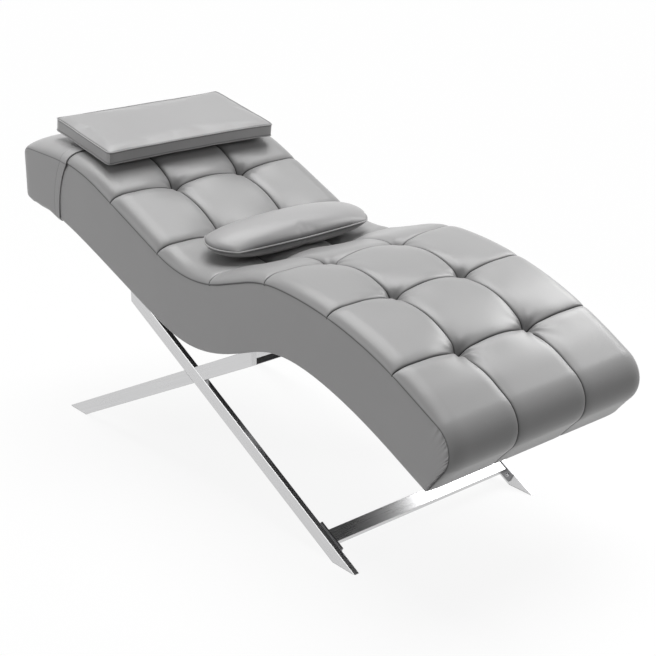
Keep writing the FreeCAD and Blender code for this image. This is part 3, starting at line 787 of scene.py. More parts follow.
def flat_bar_steel(finishes, name, lines, rotation):
    """Polished steel with fine lines that run along the bar."""
    maker = FinishMaker(name)
    streaks = maker.noise(1.0, 4.0, maker.stretched(lines, rotation))
    haze = maker.noise(9.0, 2.0)
    return maker.shade(
        Base_Color=maker.tones(streaks, finishes.steel, 0.90, 1.08),
        Metallic=1.0,
        Roughness=streaks * 0.10 + haze * 0.08 + 0.20,
        Normal=maker.bump(streaks, 0.05, 0.0003),
    )


def steel_along(angle):
    """Steel of the bars that slope by an angle."""
    def make(settings):
        name = f"bar_steel_{round(math.degrees(angle))}"
        if name not in FINISHES:
            FINISHES[name] = flat_bar_steel(settings.finishes, name, (3, 700, 700), (0, angle, 0))
        return FINISHES[name]
    return make


@finish
def cross_steel(finishes):
    """Steel of the bars that run across the base."""
    return flat_bar_steel(finishes, "cross_bar_steel", (700, 3, 700), (0, 0, 0))


def fastener_steel(name, tone):
    """Satin zinc in one of its tones."""
    return speckled(name, tone, (420.0, 3.0), (0.75, 1.2), 0.25, (0.1, 0.0003), metallic=1.0)


@finish
def bolt_steel(finishes):
    """Zinc on the bolts, washers and nuts."""
    return fastener_steel("fastener_steel", finishes.bolts)


@finish
def plate_steel_painted_reflection(finishes):
    """Zinc on the joining plates, toned darker as a painted reflection of the dark underside of the bed."""
    return fastener_steel("plate_steel_painted_reflection", finishes.plates)


@finish
def plywood(finishes):
    """Birch plywood with long fibres."""
    maker = FinishMaker("birch_plywood")
    fibres = maker.noise(1.0, 5.0, maker.stretched((9, 60, 260)))
    plies = maker.node(
        "ShaderNodeTexWave", {"wave_type": "BANDS", "bands_direction": "Y"},
        {"Vector": maker.object_place(), "Scale": 110.0, "Distortion": 1.0},
    )[1]
    grain = fibres * 0.7 + plies * 0.3
    return maker.shade(
        Base_Color=maker.tones(grain, finishes.plywood, 0.62, 1.35),
        Roughness=fibres * 0.2 + 0.5,
        Normal=maker.bump(grain, 0.25, 0.0005),
    )


@finish
def foam(finishes):
    """Open-cell cushion foam."""
    maker = FinishMaker("cushion_foam")
    cells = maker.node(
        "ShaderNodeTexVoronoi", None, {"Vector": maker.object_place(), "Scale": 520.0}
    )[0]
    return maker.shade(
        Base_Color=maker.tones(cells, finishes.foam, 0.72, 1.08),
        Roughness=cells * 0.1 + 0.85,
        Normal=maker.bump(cells, 0.5, 0.0008),
    )


@finish
def dust_cloth(finishes):
    """Black spun cloth with a pressed dot pattern."""
    maker = FinishMaker("spun_cloth")
    dots = maker.node(
        "ShaderNodeTexVoronoi", {"feature": "F1"},
        {"Vector": maker.object_place(), "Scale": 640.0, "Randomness": 0.15},
    )[0]
    fibres = maker.noise(900.0, 4.0)
    return maker.shade(
        Base_Color=maker.tones(dots * 0.6 + fibres * 0.4, finishes.dust_cloth, 0.6, 2.4),
        Roughness=fibres * 0.15 + 0.8,
        Normal=maker.bump(dots + fibres * 0.5, 0.4, 0.0004),
    )


@finish
def rubber(finishes):
    """Moulded foot pads."""
    return speckled("foot_rubber", finishes.rubber, (260.0, 3.0), (0.7, 1.8), 0.6, (0.2, 0.0004))


# Upholstery

def build_tufted_top(settings):
    """The quilted top: three columns of sewn squares, wrapped round the foot end."""
    line = BedLine(settings)
    quilt = Quilt(settings, line)
    tufts = settings.tufts
    lip, side_gap, tuck = 0.010, 0.0008, 0.0015
    head_steps, row_steps, foot_steps, column_steps = 26, 44, 34, 40
    foot_crowd = 0.6
    nose_points, face_points = 28, 24
    spans = [crowded(line.pad, line.rows[0], head_steps)]
    spans += [crowded(a, b, row_steps) for a, b in zip(line.rows[:-1], line.rows[1:])]
    spans += [crowded(line.last_row, line.nose_start, foot_steps, foot_crowd)]
    spans += [np.linspace(line.nose_start, line.nose_end, nose_points)]
    spans += [np.linspace(line.nose_end, line.end, face_points)]
    s = joined(*spans)[:, None]
    side = line.half - side_gap
    heights = np.array([0.0004, 0.0010, 0.0018, 0.0028, 0.0038])
    edge = line.half - tufts.edge_round * (1 - np.sqrt(1 - (heights / tufts.crown) ** 2))
    columns = joined(
        crowded(-side, -line.channel, column_steps),
        crowded(-line.channel, line.channel, column_steps),
        crowded(line.channel, side, column_steps),
    )
    y = np.concatenate([-edge, columns, edge[::-1]])[None, :]
    rise = quilt.rise(s, y)
    round_under = np.clip((s - line.end + lip) / lip, 0, 1)
    rise = rise - lip * (1 - np.sqrt(1 - round_under**2))
    tucked = line.half - settings.panels.thickness - tuck
    low_y = np.array([[tucked, tucked, -tucked, -tucked]])
    low_rise = np.array([[-tuck, -tufts.depth, -tufts.depth, -tuck]])
    rings = np.concatenate([line.place(s, y, rise), line.place(s, low_y, low_rise + 0 * s)], axis=1)
    # The seam mark paints shade into the colour: in the seams, at the crossings and over the whole hidden
    # underside
    seam = np.concatenate([quilt.seam(s, y), np.ones((len(s), low_y.size))], axis=1)
    piece = skinned("tufted_top_quilt", cut_at_underside(line, rings), seam)
    return dressed(
        piece, "bed", quilt_leatherette_painted_shade(settings), "tufted_top", fill=0.9, slot="padded_leatherette"
    )


def cut_at_underside(line, rings):
    """Moves what reaches past the underside of the foot end back onto it."""
    under = line.tip - line.nose_low
    normal = np.array([-under[2], 0, under[0]])
    normal /= np.linalg.norm(normal)
    if normal[2] > 0:
        normal = -normal
    face = line.place(line.end, 0, 0) - line.place(line.nose_end, 0, 0)
    face /= np.linalg.norm(face)
    past = (rings - line.tip) @ normal
    cut = np.where((past > 0) & (rings[..., 0] > line.nose_low[0]), past, 0) / (face @ normal)
    return rings - cut[..., None] * face


def panel_profile(panels):
    """A side panel's section from its seam down: share of the way, fixed walk and inset from its face."""
    roll, low_edge, behind = panels.roll, panels.low_edge, panels.thickness
    top_gap, low_gap = 0.0012, 0.0008
    first_down, crowding = 0.09, 1.6
    downs = roll * np.linspace(first_down, 1, 10) ** crowding
    top = [(0, down, panels.lip * (1 - down / roll) ** 2) for down in downs]
    shares = np.linspace(0.03, 0.97, 22)
    face = [(f, roll * (1 - f) - low_edge * f, -panels.bulge * math.sin(math.pi * f)) for f in shares]
    angles = np.linspace(0, np.pi / 2, 6)
    low = [(1, low_edge * (math.sin(a) - 1), low_edge * (1 - math.cos(a))) for a in angles]
    return np.array([(0, top_gap, behind), *top, *face, *low, (1, -low_gap, behind)])


def build_side_panels(settings):
    """The two padded side panels under the side seams."""
    line = BedLine(settings)
    panels = settings.panels
    tip_gap, body_points, nose_points = 0.004, 170, 70
    s = joined(
        np.linspace(line.pad, line.nose_start, body_points),
        np.linspace(line.nose_start, line.end - tip_gap, nose_points),
    )
    top = line.place(s, 0, 0)
    low = line.under(s)
    drop = np.linalg.norm(low - top, axis=1)
    profile = panel_profile(panels)
    shrink = np.minimum(1, drop / (panels.roll * 3))[:, None]
    walked = profile[:, 0] * drop[:, None] + profile[:, 1] * shrink
    on_face = profile[:, 2] < panels.thickness * 0.95
    folds = np.where(on_face, panel_folds(line, s, walked), 0)
    inset = profile[:, 2] * np.where(on_face, shrink, 1) + folds
    way = (low - top) / np.maximum(drop, SAME_PLACE)[:, None]
    points = top[:, None, :] + way[:, None, :] * walked[..., None]
    # Painted shade along the panel's sewn top edge, where it meets the quilt
    seam_shade, seam_shade_reach = 0.9, 0.0019
    seam = seam_shade * bell(walked, seam_shade_reach) * np.ones_like(inset)
    for name, side in (("right_side_panel", -1), ("left_side_panel", 1)):
        rings = points.copy()
        rings[..., 1] = side * (line.half - inset)
        piece = skinned(name + "_pad", rings, seam)
        dressed(piece, "bed", leatherette(settings), name, fill=0.7, slot="leatherette")


def panel_folds(line, s, walked):
    """How far a panel is drawn in where seams of the top end at it, and in small folds round the nose."""
    pull, pull_along, pull_down = 0.0022, 0.010, 0.014
    fold, fold_pitch, fold_down, fold_gap = 0.0022, 0.0125, 0.013, 0.002
    unevenness = 160
    nose_before, nose_blend = 0.02, 0.03
    to_row = np.min(np.abs(s[:, None] - line.rows), axis=1)[:, None]
    pulled = pull * bell(to_row, pull_along) * bell(walked, pull_down)
    round_nose = np.clip((s[:, None] - line.nose_start + nose_before) / nose_blend, 0, 1)
    folds = fold * np.sin(2 * np.pi * s[:, None] / fold_pitch + 2 * np.sin(s[:, None] * unevenness))
    return pulled + folds * round_nose * np.exp(-walked / fold_down) * (walked > fold_gap)


class HeadEnd:
    """Outlines round the head end of the bed, for its pad and its slip-on cover."""

    # Depth of the body there, to tell distances from shares of the way down
    side_depth = 0.16
    # Rounding of the lower edges, and the slack folds of the underside
    low_edge = 0.010
    slack = 0.0016
    slack_waves = 74
    # How far the end face swells
    end_swell = 0.003

    def __init__(self, settings):
        self.line = BedLine(settings)
        self.quilt = Quilt(settings, self.line)
        self.panels = settings.panels
        self.crown = settings.tufts.crown
        self.bulge = settings.tufts.head_bulge
        half, reach = self.line.half, settings.tufts.edge_round
        beside = np.array([0, 0.0008, 0.0016, 0.0026, 0.004, 0.007, 0.011, 0.016, 0.021, 0.0245])
        edge_y = half - reach * (1 - np.sqrt(1 - (beside / self.crown) ** 2))
        middle_y = np.linspace(reach - half, half - reach, 49)
        top_y = np.concatenate([-edge_y, middle_y, edge_y[::-1]])
        drop = np.concatenate([beside[1:7] / self.side_depth, np.linspace(0.1, 0.96, 15)])
        low_y = crowded(half, -half, 40, 0.5)
        on_side = np.full(len(drop), half)
        self.y = np.concatenate([top_y, on_side, low_y, -on_side])
        self.down = np.concatenate([0 * top_y, drop, np.ones(len(low_y)), drop[::-1]])
        self.on_top = np.arange(len(self.y)) < len(top_y)
        top_away = [beside, np.ones(len(middle_y)), beside[::-1]]
        side_away = drop * self.side_depth
        away = np.concatenate([*top_away, side_away, np.ones(len(low_y)), side_away[::-1]])
        self.sewn = bell(away, settings.tufts.groove_width)

    def rise(self, s, stand_off, tuck):
        """Height over the seam round the outline: a rolled top, upright sides and a flat underside."""
        line, panels = self.line, self.panels
        depths = np.array([line.depth(v) for v in s.mean(axis=1)])[:, None]
        from_edge = np.clip((line.half - np.abs(self.y)) / self.low_edge, 0, 1)
        low_round = self.low_edge * (1 - np.sqrt(1 - (1 - from_edge) ** 2))
        slack = self.slack * np.sin(s * self.slack_waves) * (self.down > 0.98)
        edge = -panels.top_corner * tuck
        top = edge + (self.crown + stand_off) * self.quilt.rolled(s + stand_off, self.y)
        low = panels.low_corner * tuck - (depths + stand_off - low_round - slack)
        return np.where(self.on_top, top, edge + (low - edge) * self.down)

    def ring(self, s, stand_off, tuck=0.0):
        """Rings of points at walked places, standing off the body, with their corners tucked in."""
        s = np.broadcast_to(s, (len(s), len(self.y)))
        tuck = np.broadcast_to(np.asarray(tuck, float).reshape(-1, 1), (len(s), 1))
        y = self.y * (1 + (stand_off - self.panels.side_corner * tuck) / self.line.half)
        return self.line.place(s, y, self.rise(s, stand_off, tuck))

    def end(self, stand_off):
        """Rings of the closed, rounded end, from its middle outwards."""
        round_points, flat_points, innermost = 9, 13, 0.03
        angles = np.linspace(0, np.pi / 2, round_points)
        walked = self.panels.cover_corner * (1 - np.cos(angles)) - stand_off - self.bulge
        rounded = self.ring(walked[:, None], stand_off, 1 - np.sin(angles))
        middle = rounded[0].mean(axis=0)
        shares = np.linspace(innermost, 1, flat_points)[:-1, None, None]
        flat = middle + (rounded[0] - middle) * shares
        across = (flat[..., 1] - middle[1]) / self.line.half
        up = (flat[..., 2] - middle[2]) / np.abs(rounded[0, :, 2] - middle[2]).max()
        flat[..., 0] -= self.end_swell * np.clip(1 - across**2, 0, 1) * np.clip(1 - up**2, 0, 1)
        return np.concatenate([flat, rounded])


def cover_mouth(head):
    """Walk to the cover's edge round the head end: leaning back down the sides and drawn back on the top."""
    panels = head.panels
    lean_curve, ripple, ripple_waves, hollow, hollow_waves = 2.2, 0.0014, 31, 0.012, 4.4
    lean = panels.cover_lean * (1 - (1 - np.minimum(head.down, 1)) ** lean_curve)
    mouth = panels.cover_mouth - lean + ripple * np.sin(head.y * ripple_waves) * head.on_top
    return np.where(head.on_top, mouth - hollow * np.cos(head.y * hollow_waves) ** 2, mouth)


def build_head_cover(settings):
    """The slip-on cover of the head end, with its sewn edges and stitched hem, over a rounded foam pad."""
    head = HeadEnd(settings)
    panels = settings.panels
    mouth = cover_mouth(head)
    hem = panels.hem
    beside_hem = np.array([0.012, 0.006, 0.0024, 0.001, 0, -0.001, -0.0024, -0.007])
    from_mouth = np.concatenate([hem + beside_hem, [0.014, 0.007, 0.0024, 0.0008, 0]])
    hem_row = int(np.argmin(np.abs(beside_hem)))
    hem_rows = slice(-len(from_mouth), None)
    stitch_reach, fold_in, inner_gap, sleeve_steps = 0.0011, 0.0007, 0.0004, 23
    below_hem, above_edge = 0.0005, 0.0004
    stitch_row = bell(from_mouth - hem, stitch_reach)[:, None]
    doubled = fold_in * (from_mouth < hem - below_hem) * (from_mouth > above_edge)

    def sleeve(stand_off, lift):
        start = panels.cover_corner - stand_off - head.bulge
        shares = np.linspace(0, 1, sleeve_steps + 1)[1:-1, None]
        plain = head.ring(start + shares * (mouth[None, :] - from_mouth[0] - start), stand_off)
        hemmed = head.ring(mouth[None, :] - from_mouth[:, None], stand_off + lift[:, None])
        return np.concatenate([head.end(stand_off), plain, hemmed])

    outer = sleeve(panels.cover, doubled - fold_in * stitch_row[:, 0])
    inner = sleeve(inner_gap, 0 * from_mouth)
    # Painted shade along the sewn edges and in the hem's stitching, and a painted shadow on the inner layer
    # at the cover's mouth
    edge_shade, hem_shade, mouth_shadow_rows = 0.55, 0.5, 4
    marks = edge_shade * head.sewn * np.ones(outer.shape[:2])
    marks[hem_rows] = np.maximum(marks[hem_rows], stitch_row * hem_shade)
    mouth_shadow = np.zeros(inner.shape[:2])
    mouth_shadow[-mouth_shadow_rows:] = 1
    rings = np.concatenate([outer, inner[::-1]])
    piece = skinned("head_cover_sleeve", rings, np.concatenate([marks, mouth_shadow[::-1]]), smooth_angle=60)
    dressed(piece, "bed", leatherette(settings), "head_cover", fill=0.5, slot="leatherette")
    build_stitches(settings, outer[hem_rows][hem_row][head.down < 0.9])
    back = head.ring(np.array([[head.line.pad]]), 0)
    foam_pad = skinned("head_end_foam", np.concatenate([head.end(0), back]))
    dressed(foam_pad, "bed", foam(settings), "head_end_pad", fill=1.0, slot="foam")


def build_stitches(settings, line):
    """A row of sewing stitches along the hem: one is shaped and then copied along the line."""
    size = settings.panels.stitch
    slimness, spacing, ahead_by = 0.22, 1.35, 0.001
    jumps = np.linalg.norm(np.roll(line, -1, axis=0) - line, axis=1)
    first = int(np.argmax(jumps)) + 1
    line = np.roll(line, -first, axis=0)
    walked = np.concatenate([[0], np.cumsum(np.linalg.norm(np.diff(line, axis=0), axis=1))])
    bpy.ops.object.select_all(action="DESELECT")
    bpy.ops.mesh.primitive_uv_sphere_add(segments=6, ring_count=5, radius=size / 2)
    stitch = bpy.context.object
    stitch.scale = (slimness, slimness, 1)
    bpy.ops.object.transform_apply(location=False, rotation=False, scale=True)
    copies = []
    for place in np.arange(size, walked[-1], size * spacing):
        here = np.array([np.interp(place, walked, line[:, k]) for k in range(3)])
        ahead = np.array([np.interp(place + ahead_by, walked, line[:, k]) for k in range(3)]) - here
        copy = stitch.copy()
        copy.data = stitch.data.copy()
        bpy.context.collection.objects.link(copy)
        copy.location = here
        copy.rotation_euler = Vector(ahead).to_track_quat("Z", "Y").to_euler()
        copies.append(copy)
    bpy.data.objects.remove(stitch)
    bpy.ops.object.select_all(action="DESELECT")
    for copy in copies:
        copy.select_set(True)
    bpy.context.view_layer.objects.active = copies[0]
    bpy.ops.object.join()
    row = bpy.context.object
    bpy.ops.object.transform_apply(location=True, rotation=True, scale=True)
    row.name = row.data.name = "head_cover_stitches"
    bpy.ops.object.shade_smooth()
    dressed(row, "bed", thread(settings), slot="leatherette")


# Seam marks of a pillow's sewn edges, the upper and the lower one, which also paint shade along those edges
UPPER_WELT = 1.0
LOWER_WELT = 0.98
# How hard the pillows are blown up
PILLOW_PRESSURE = 4.0


def head_pillow_rings(sizes):
    """The head pillow's plain shape round its own middle, and the marks of its two sewn edges."""
    depth, high, wide = sizes.head_depth / 2, sizes.head_side / 2, sizes.head_width / 2
    corner, corner_draw, droop = 0.012, 0.014, 0.002
    across_points, width_points, end_shares = 41, 75, np.array([0, 0.34, 0.67])
    across = np.linspace(-depth, depth, across_points)
    up = np.linspace(-high, high, 7)[1:-1]
    x = np.concatenate([across, np.full(len(up), depth), across[::-1], np.full(len(up), -depth)])
    z = np.concatenate([np.full(across_points, high), up[::-1], np.full(across_points, -high), up])
    ends = len(end_shares)
    y = np.concatenate([np.full(ends, -wide), np.linspace(-wide, wide, width_points), np.full(ends, wide)])
    flat = np.concatenate([end_shares, np.ones(width_points), end_shares[::-1]])
    rings = np.stack(np.broadcast_arrays(x[None, :], y[:, None], z[None, :] * flat[:, None]), axis=-1)
    round_corner = np.clip((np.abs(rings[..., 0]) - depth + corner) / corner, 0, 1)
    round_corner = round_corner * np.clip((np.abs(rings[..., 1]) - wide + corner) / corner, 0, 1)
    rings[..., :2] *= (1 - corner_draw * round_corner)[..., None]
    along, over = rings[..., 0] / depth, rings[..., 1] / wide
    swell = np.nan_to_num(np.cos(along * np.pi / 2) ** 0.5 * np.cos(over * np.pi / 2) ** 0.35)
    full = (1 - np.abs(along) ** 3) * (1 - np.abs(over) ** 5)
    rings[..., 2] += np.where(rings[..., 2] > 0, sizes.head_crown * 0.6 * swell, -sizes.head_sag * full)
    rings[..., 2] -= droop * np.maximum(along * rings[..., 1] / wide, 0) ** 3
    on_edge = (np.abs(np.abs(z[None, :] * flat[:, None]) - high) < NO_MOVE) & (
        (np.abs(x)[None, :] >= depth - NO_MOVE) | (np.abs(y)[:, None] >= wide - NO_MOVE)
    )
    return rings, np.where(on_edge, np.where(rings[..., 2] > 0, UPPER_WELT, LOWER_WELT), 0.0)


def build_head_pillow(settings):
    """The thin box cushion for the head, blown up as cloth, with welts round its two faces."""
    line = BedLine(settings)
    quilt = Quilt(settings, line)
    sizes = settings.pillows
    piece = skinned("head_pillow_cushion", *head_pillow_rings(sizes))
    puffed(piece, PILLOW_PRESSURE, cap=0.007)
    points = points_of(piece.data)
    plan = np.array([sizes.head_depth / 2, sizes.head_width / 2])
    points[:, :2] *= plan / np.abs(points[:, :2]).max(axis=0)
    set_points(piece, points)
    middle = line.place(sizes.head_place, sizes.head_shift, 0) + np.array([0, 0, sizes.head_rise])
    seat_pillow(piece, line, quilt, middle, sizes.head_tilt, -sizes.head_yaw, settings.panels.cover)
    add_welts(piece, "head_pillow", (UPPER_WELT, LOWER_WELT), sizes.welt * 0.8, settings)
    dressed(piece, "head_pillow", leatherette(settings), "head_pillow", fill=0.8, slot="padded_leatherette")


def lumbar_pillow_rings(sizes):
    """The lumbar pillow's plain shape round its own middle, and the marks of its sewn edge."""
    length_points, depth_points = 71, 25
    upper_share, lower_share = 0.43, 0.40
    u = np.linspace(-1, 1, length_points)[:, None]
    v = np.linspace(-1, 1, depth_points)[None, :]
    bow = sizes.lumbar_bow
    y = sizes.lumbar_length / 2 * u * np.sqrt(1 - bow * v**2 / 2)
    x = sizes.lumbar_depth / 2 * v * np.sqrt(1 - bow * u**2 / 2)
    swell = (1 - np.abs(u) ** 3.3) ** 0.5 * (1 - np.abs(v) ** 2.4) ** 0.62
    full = (1 - np.abs(u) ** 4.0) ** 0.5 * (1 - np.abs(v) ** 3.0) ** 0.5
    upper = np.stack(np.broadcast_arrays(x, y, sizes.lumbar_height * upper_share * swell), axis=-1)
    lower = np.stack(np.broadcast_arrays(x, y, -sizes.lumbar_height * lower_share * full), axis=-1)
    rings = np.concatenate([upper, lower[:, ::-1][:, 1:-1]], axis=1)
    rim = np.zeros(rings.shape[:2])
    rim[:, 0] = rim[:, depth_points - 1] = UPPER_WELT
    rim[0] = rim[-1] = UPPER_WELT
    return rings, rim


def build_lumbar_pillow(settings):
    """The oblong pillow in the hollow of the seat, blown up as cloth, with one welt all round."""
    line = BedLine(settings)
    quilt = Quilt(settings, line)
    sizes = settings.pillows
    piece = skinned("lumbar_pillow_cushion", *lumbar_pillow_rings(sizes))
    puffed(piece, PILLOW_PRESSURE, cap=0.008)
    middle = line.place(sizes.lumbar_place, 0, 0) + np.array([0, 0, sizes.lumbar_rise])
    seat_pillow(piece, line, quilt, middle, sizes.lumbar_tilt, -sizes.lumbar_yaw, 0.0)
    add_welts(piece, "lumbar_pillow", (UPPER_WELT,), sizes.welt, settings)
    dressed(
        piece, "lumbar_pillow", leatherette(settings), "lumbar_pillow", fill=0.7, slot="padded_leatherette"
    )


def seat_pillow(piece, line, quilt, middle, tilt, yaw, lift):
    """Puts a pillow on the bed, and presses it flat where it rests on it."""
    rest_gap = 0.0012
    points = turned(points_of(piece.data), tilt, yaw) + middle
    floor = line.surface_z(points[:, 0], points[:, 1], quilt.rise) + lift + rest_gap
    points[:, 2] = np.maximum(points[:, 2], floor)
    set_points(piece, points)


def add_welts(piece, body, marks, radius, settings):
    """Sewn edges along the marked points of a pillow, in the order that they go round it."""
    mark_tolerance = 0.005
    points = points_of(piece.data)
    values = np.empty(len(points), np.float32)
    piece.data.attributes["seam"].data.foreach_get("value", values)
    middle = points.mean(axis=0)
    for k, mark in enumerate(marks):
        chosen = points[np.abs(values - mark) < mark_tolerance]
        angles = np.arctan2(chosen[:, 1] - middle[1], chosen[:, 0] - middle[0])
        path = chosen[np.argsort(angles)]
        edge = welt(f"{body}_welt_{k + 1}", path, radius)
        dressed(edge, body, leatherette(settings), slot="leatherette")


def build_inner_padding(settings):
    """The foam under the quilted top and in the foot end."""
    line = BedLine(settings)
    top_gap, reach_down, slab_points, nose_points, low_points = 0.0025, 0.041, 120, 40, 12
    top, low = settings.tufts.depth + top_gap, settings.tufts.depth + reach_down
    s = np.linspace(line.pad, line.nose_start, slab_points)
    outline = np.concatenate([line.place(s, 0, -top), line.place(s[::-1], 0, -low)])
    base = skinned("base_foam_slab", spread_across(outline, line.inside), smooth_angle=40)
    dressed(base, "bed", foam(settings), "base_foam", fill=1.0, slot="foam")
    tip_share, low_gap = 0.80, 0.003
    around = np.linspace(line.nose_start, line.end, nose_points)
    shares = np.linspace(tip_share, 0, low_points)[:, None]
    low_line = line.nose_low + (line.tip - line.nose_low) * shares + np.array([0, 0, low_gap])
    nose = cut_at_underside(line, np.concatenate([line.place(around, 0, -top), low_line]))
    filling = skinned("nose_foam_block", spread_across(nose, line.inside), smooth_angle=40)
    dressed(filling, "bed", foam(settings), "nose_foam", fill=1.0, slot="foam")


def spread_across(outline, half):
    """Rings of one outline from side to side of the bed, drawn in a little at both ends."""
    end_shrink, end_width = 0.997, 0.003
    middle = outline.mean(axis=0)
    rings = []
    for y, shrink in ((-half, end_shrink), (-half + end_width, 1), (half - end_width, 1), (half, end_shrink)):
        ring = middle + (outline - middle) * shrink
        ring[:, 1] = y
        rings.append(ring)
    return np.stack(rings)


def build_dust_cloth(settings):
    """The cloth stretched under the body, from the head pad to the foot end."""
    line = BedLine(settings)
    half = line.inside
    sag, sink = 0.0009, 0.0002
    body_rows, nose_rows, tip_rows, columns = 90, 20, 4, 31
    nose = np.linspace(line.nose_start, line.end, nose_rows)
    s = np.concatenate([np.linspace(line.pad, line.nose_start, body_rows), nose[1:-tip_rows]])
    y = np.linspace(-half, half, columns)
    low = line.under(s)
    along = np.gradient(low, axis=0)
    normal = np.stack([along[:, 2], 0 * s, -along[:, 0]], axis=1)
    normal /= np.linalg.norm(normal, axis=1, keepdims=True)
    slack = sag * np.sin(np.pi * np.abs(y) / half) ** 2
    sheet = low[:, None, :] + normal[:, None, :] * (slack[None, :, None] - sink)
    sheet[..., 1] = y
    back = sheet - normal[:, None, :] * settings.panels.dust_cloth
    rings = np.concatenate([sheet, back[:, ::-1]], axis=1)
    piece = skinned("dust_cloth_sheet", rings, smooth_angle=40)
    dressed(piece, "bed", dust_cloth(settings), "dust_cover", slot="dust_cloth")
    run = np.linalg.norm(np.diff(low, axis=0), axis=1).sum()


# Hard parts

STEEL_NODES = {
    "falling": ["right_long_bar", "left_long_bar"],
    "rising": ["right_rear_leg_bar", "left_rear_leg_bar", "right_front_arm_bar", "left_front_arm_bar"],
    "across": ["lower_crossbar", "front_seat_rail", "rear_seat_rail"],
    "plates": ["lower_crossbar_plates", "front_rail_plates", "rear_rail_plates"],
    "bolts": ["lower_crossbar_bolts", "front_rail_bolts", "rear_rail_bolts", "seat_spacers",
              "seat_washers", "seat_bolts", "tee_nuts"],
}
WOOD_NODES = ["front_mounting_board", "rear_mounting_board", "right_side_rib", "left_side_rib", "centre_rib",
              "head_end_rail", "foot_end_rail", "deck_panel"]


def give_finish(names, material):
    """Puts a finish on CAD nodes."""
    for name in names:
        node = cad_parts[name]
        node.data.materials.clear()
        node.data.materials.append(material)


def bar_slope():
    """Slope of the base's bars, from the long bar's own box."""
    low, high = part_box("right_long_bar")
    return math.atan2(high.z - low.z, high.x - low.x)


def build_base(settings):
    """Finishes of the steel base and its feet."""
    slope = bar_slope()
    give_finish(STEEL_NODES["falling"], steel_along(slope)(settings))
    give_finish(STEEL_NODES["rising"], steel_along(-slope)(settings))
    give_finish(STEEL_NODES["across"], cross_steel(settings))
    give_finish(STEEL_NODES["plates"], plate_steel_painted_reflection(settings))
    give_finish(STEEL_NODES["bolts"], bolt_steel(settings))
    give_finish(["foot_pads"], rubber(settings))


def build_inner_frame(settings):
    """Finish of the wooden frame inside the body."""
    give_finish(WOOD_NODES, plywood(settings))


# Studio

FLOOR_SIZE = 40
LAMP_HEIGHT = 3
# Width of the film that the lens is given for, in millimetres
SENSOR_WIDTH = 36.0
# The floor as it is seen: how much of its tone takes the shadow, and its own glow
SHADOW_SHARE = 0.26
FLOOR_GLOW = 0.90


def build_studio(settings):
    """Pale floor, soft lights, white surroundings and the camera."""
    studio = settings.studio
    scene = bpy.context.scene
    scene.view_settings.view_transform = "Standard"
    bpy.ops.object.select_all(action="DESELECT")
    bpy.ops.mesh.primitive_plane_add(size=FLOOR_SIZE)
    floor = bpy.context.object
    floor.name = "studio_floor"
    floor.data.materials.append(floor_finish(settings))
    add_lamp("key_light", studio.key_light, studio.key_spread, studio.key_way)
    add_lamp("fill_light", studio.fill_light, studio.key_spread, studio.fill_way)
    size = studio.panel_light_size
    add_panel_light("head_light", studio.head_light, size, studio.head_light_place, studio.head_light_aim)
    add_panel_light("foot_light", studio.foot_light, size, studio.foot_light_place, studio.foot_light_aim)
    scene.world = surroundings(studio.ambient)
    looking = (
        Matrix.Rotation(studio.heading, 3, "Z")
        @ Matrix.Rotation(math.pi / 2 - studio.pitch, 3, "X")
        @ Matrix.Rotation(studio.roll, 3, "Z")
    )
    bpy.ops.object.camera_add(location=studio.camera, rotation=looking.to_euler())
    camera = bpy.context.object
    camera.data.lens = studio.lens
    camera.data.sensor_width = SENSOR_WIDTH
    scene.camera = camera


def add_lamp(name, strength, spread, way):
    """A wide soft light that shines one way over the whole bed."""
    bpy.ops.object.light_add(type="SUN", location=(0, 0, LAMP_HEIGHT))
    lamp = bpy.context.object
    lamp.name = name
    lamp.data.energy = strength
    lamp.data.angle = spread
    lamp.rotation_euler = Vector(way).to_track_quat("-Z", "Y").to_euler()


def add_panel_light(name, power, size, place, aim):
    """A small square light that hangs near the bed."""
    bpy.ops.object.light_add(type="AREA", location=place)
    lamp = bpy.context.object
    lamp.name = name
    lamp.data.energy = power
    lamp.data.size = size
    lamp.rotation_euler = (Vector(aim) - Vector(place)).to_track_quat("-Z", "Y").to_euler()


def seen_directly(maker):
    """1 for rays that show the surroundings: seen straight, in a mirror or through glass."""
    path = maker.node("ShaderNodeLightPath")
    seen = maker.node("ShaderNodeMath", {"operation": "MAXIMUM"}, {0: path[0], 1: path[3]})[0]
    return maker.node("ShaderNodeMath", {"operation": "MAXIMUM"}, {0: seen, 1: path[6]})[0]


def floor_finish(settings):
    """Pale paper that reads as white and keeps a soft shadow."""
    maker = FinishMaker("studio_paper")
    tone = settings.finishes.floor
    mottle = maker.tones(maker.noise(2.0), tone, 0.99, 1.0)
    paper = maker.node("ShaderNodeBsdfDiffuse", None, {"Color": mottle})[0]
    shown = maker.node("ShaderNodeBsdfDiffuse", None, {"Color": scaled(tone, SHADOW_SHARE)})[0]
    glow = maker.node("ShaderNodeEmission", None, {"Color": (1, 1, 1, 1), "Strength": FLOOR_GLOW})[0]
    lit = maker.node("ShaderNodeAddShader", None, {0: shown, 1: glow})[0]
    mixed = maker.node("ShaderNodeMixShader", None, {0: seen_directly(maker), 1: paper, 2: lit})[0]
    maker.node("ShaderNodeOutputMaterial", None, {"Surface": mixed})
    return maker.material


class WorldMaker(FinishMaker):
    """Builds the surroundings, node by node."""

    def __init__(self, name):
        self.world = bpy.data.worlds.new(name)
        self.world.use_nodes = True
        self.tree = self.world.node_tree
        self.tree.nodes.clear()


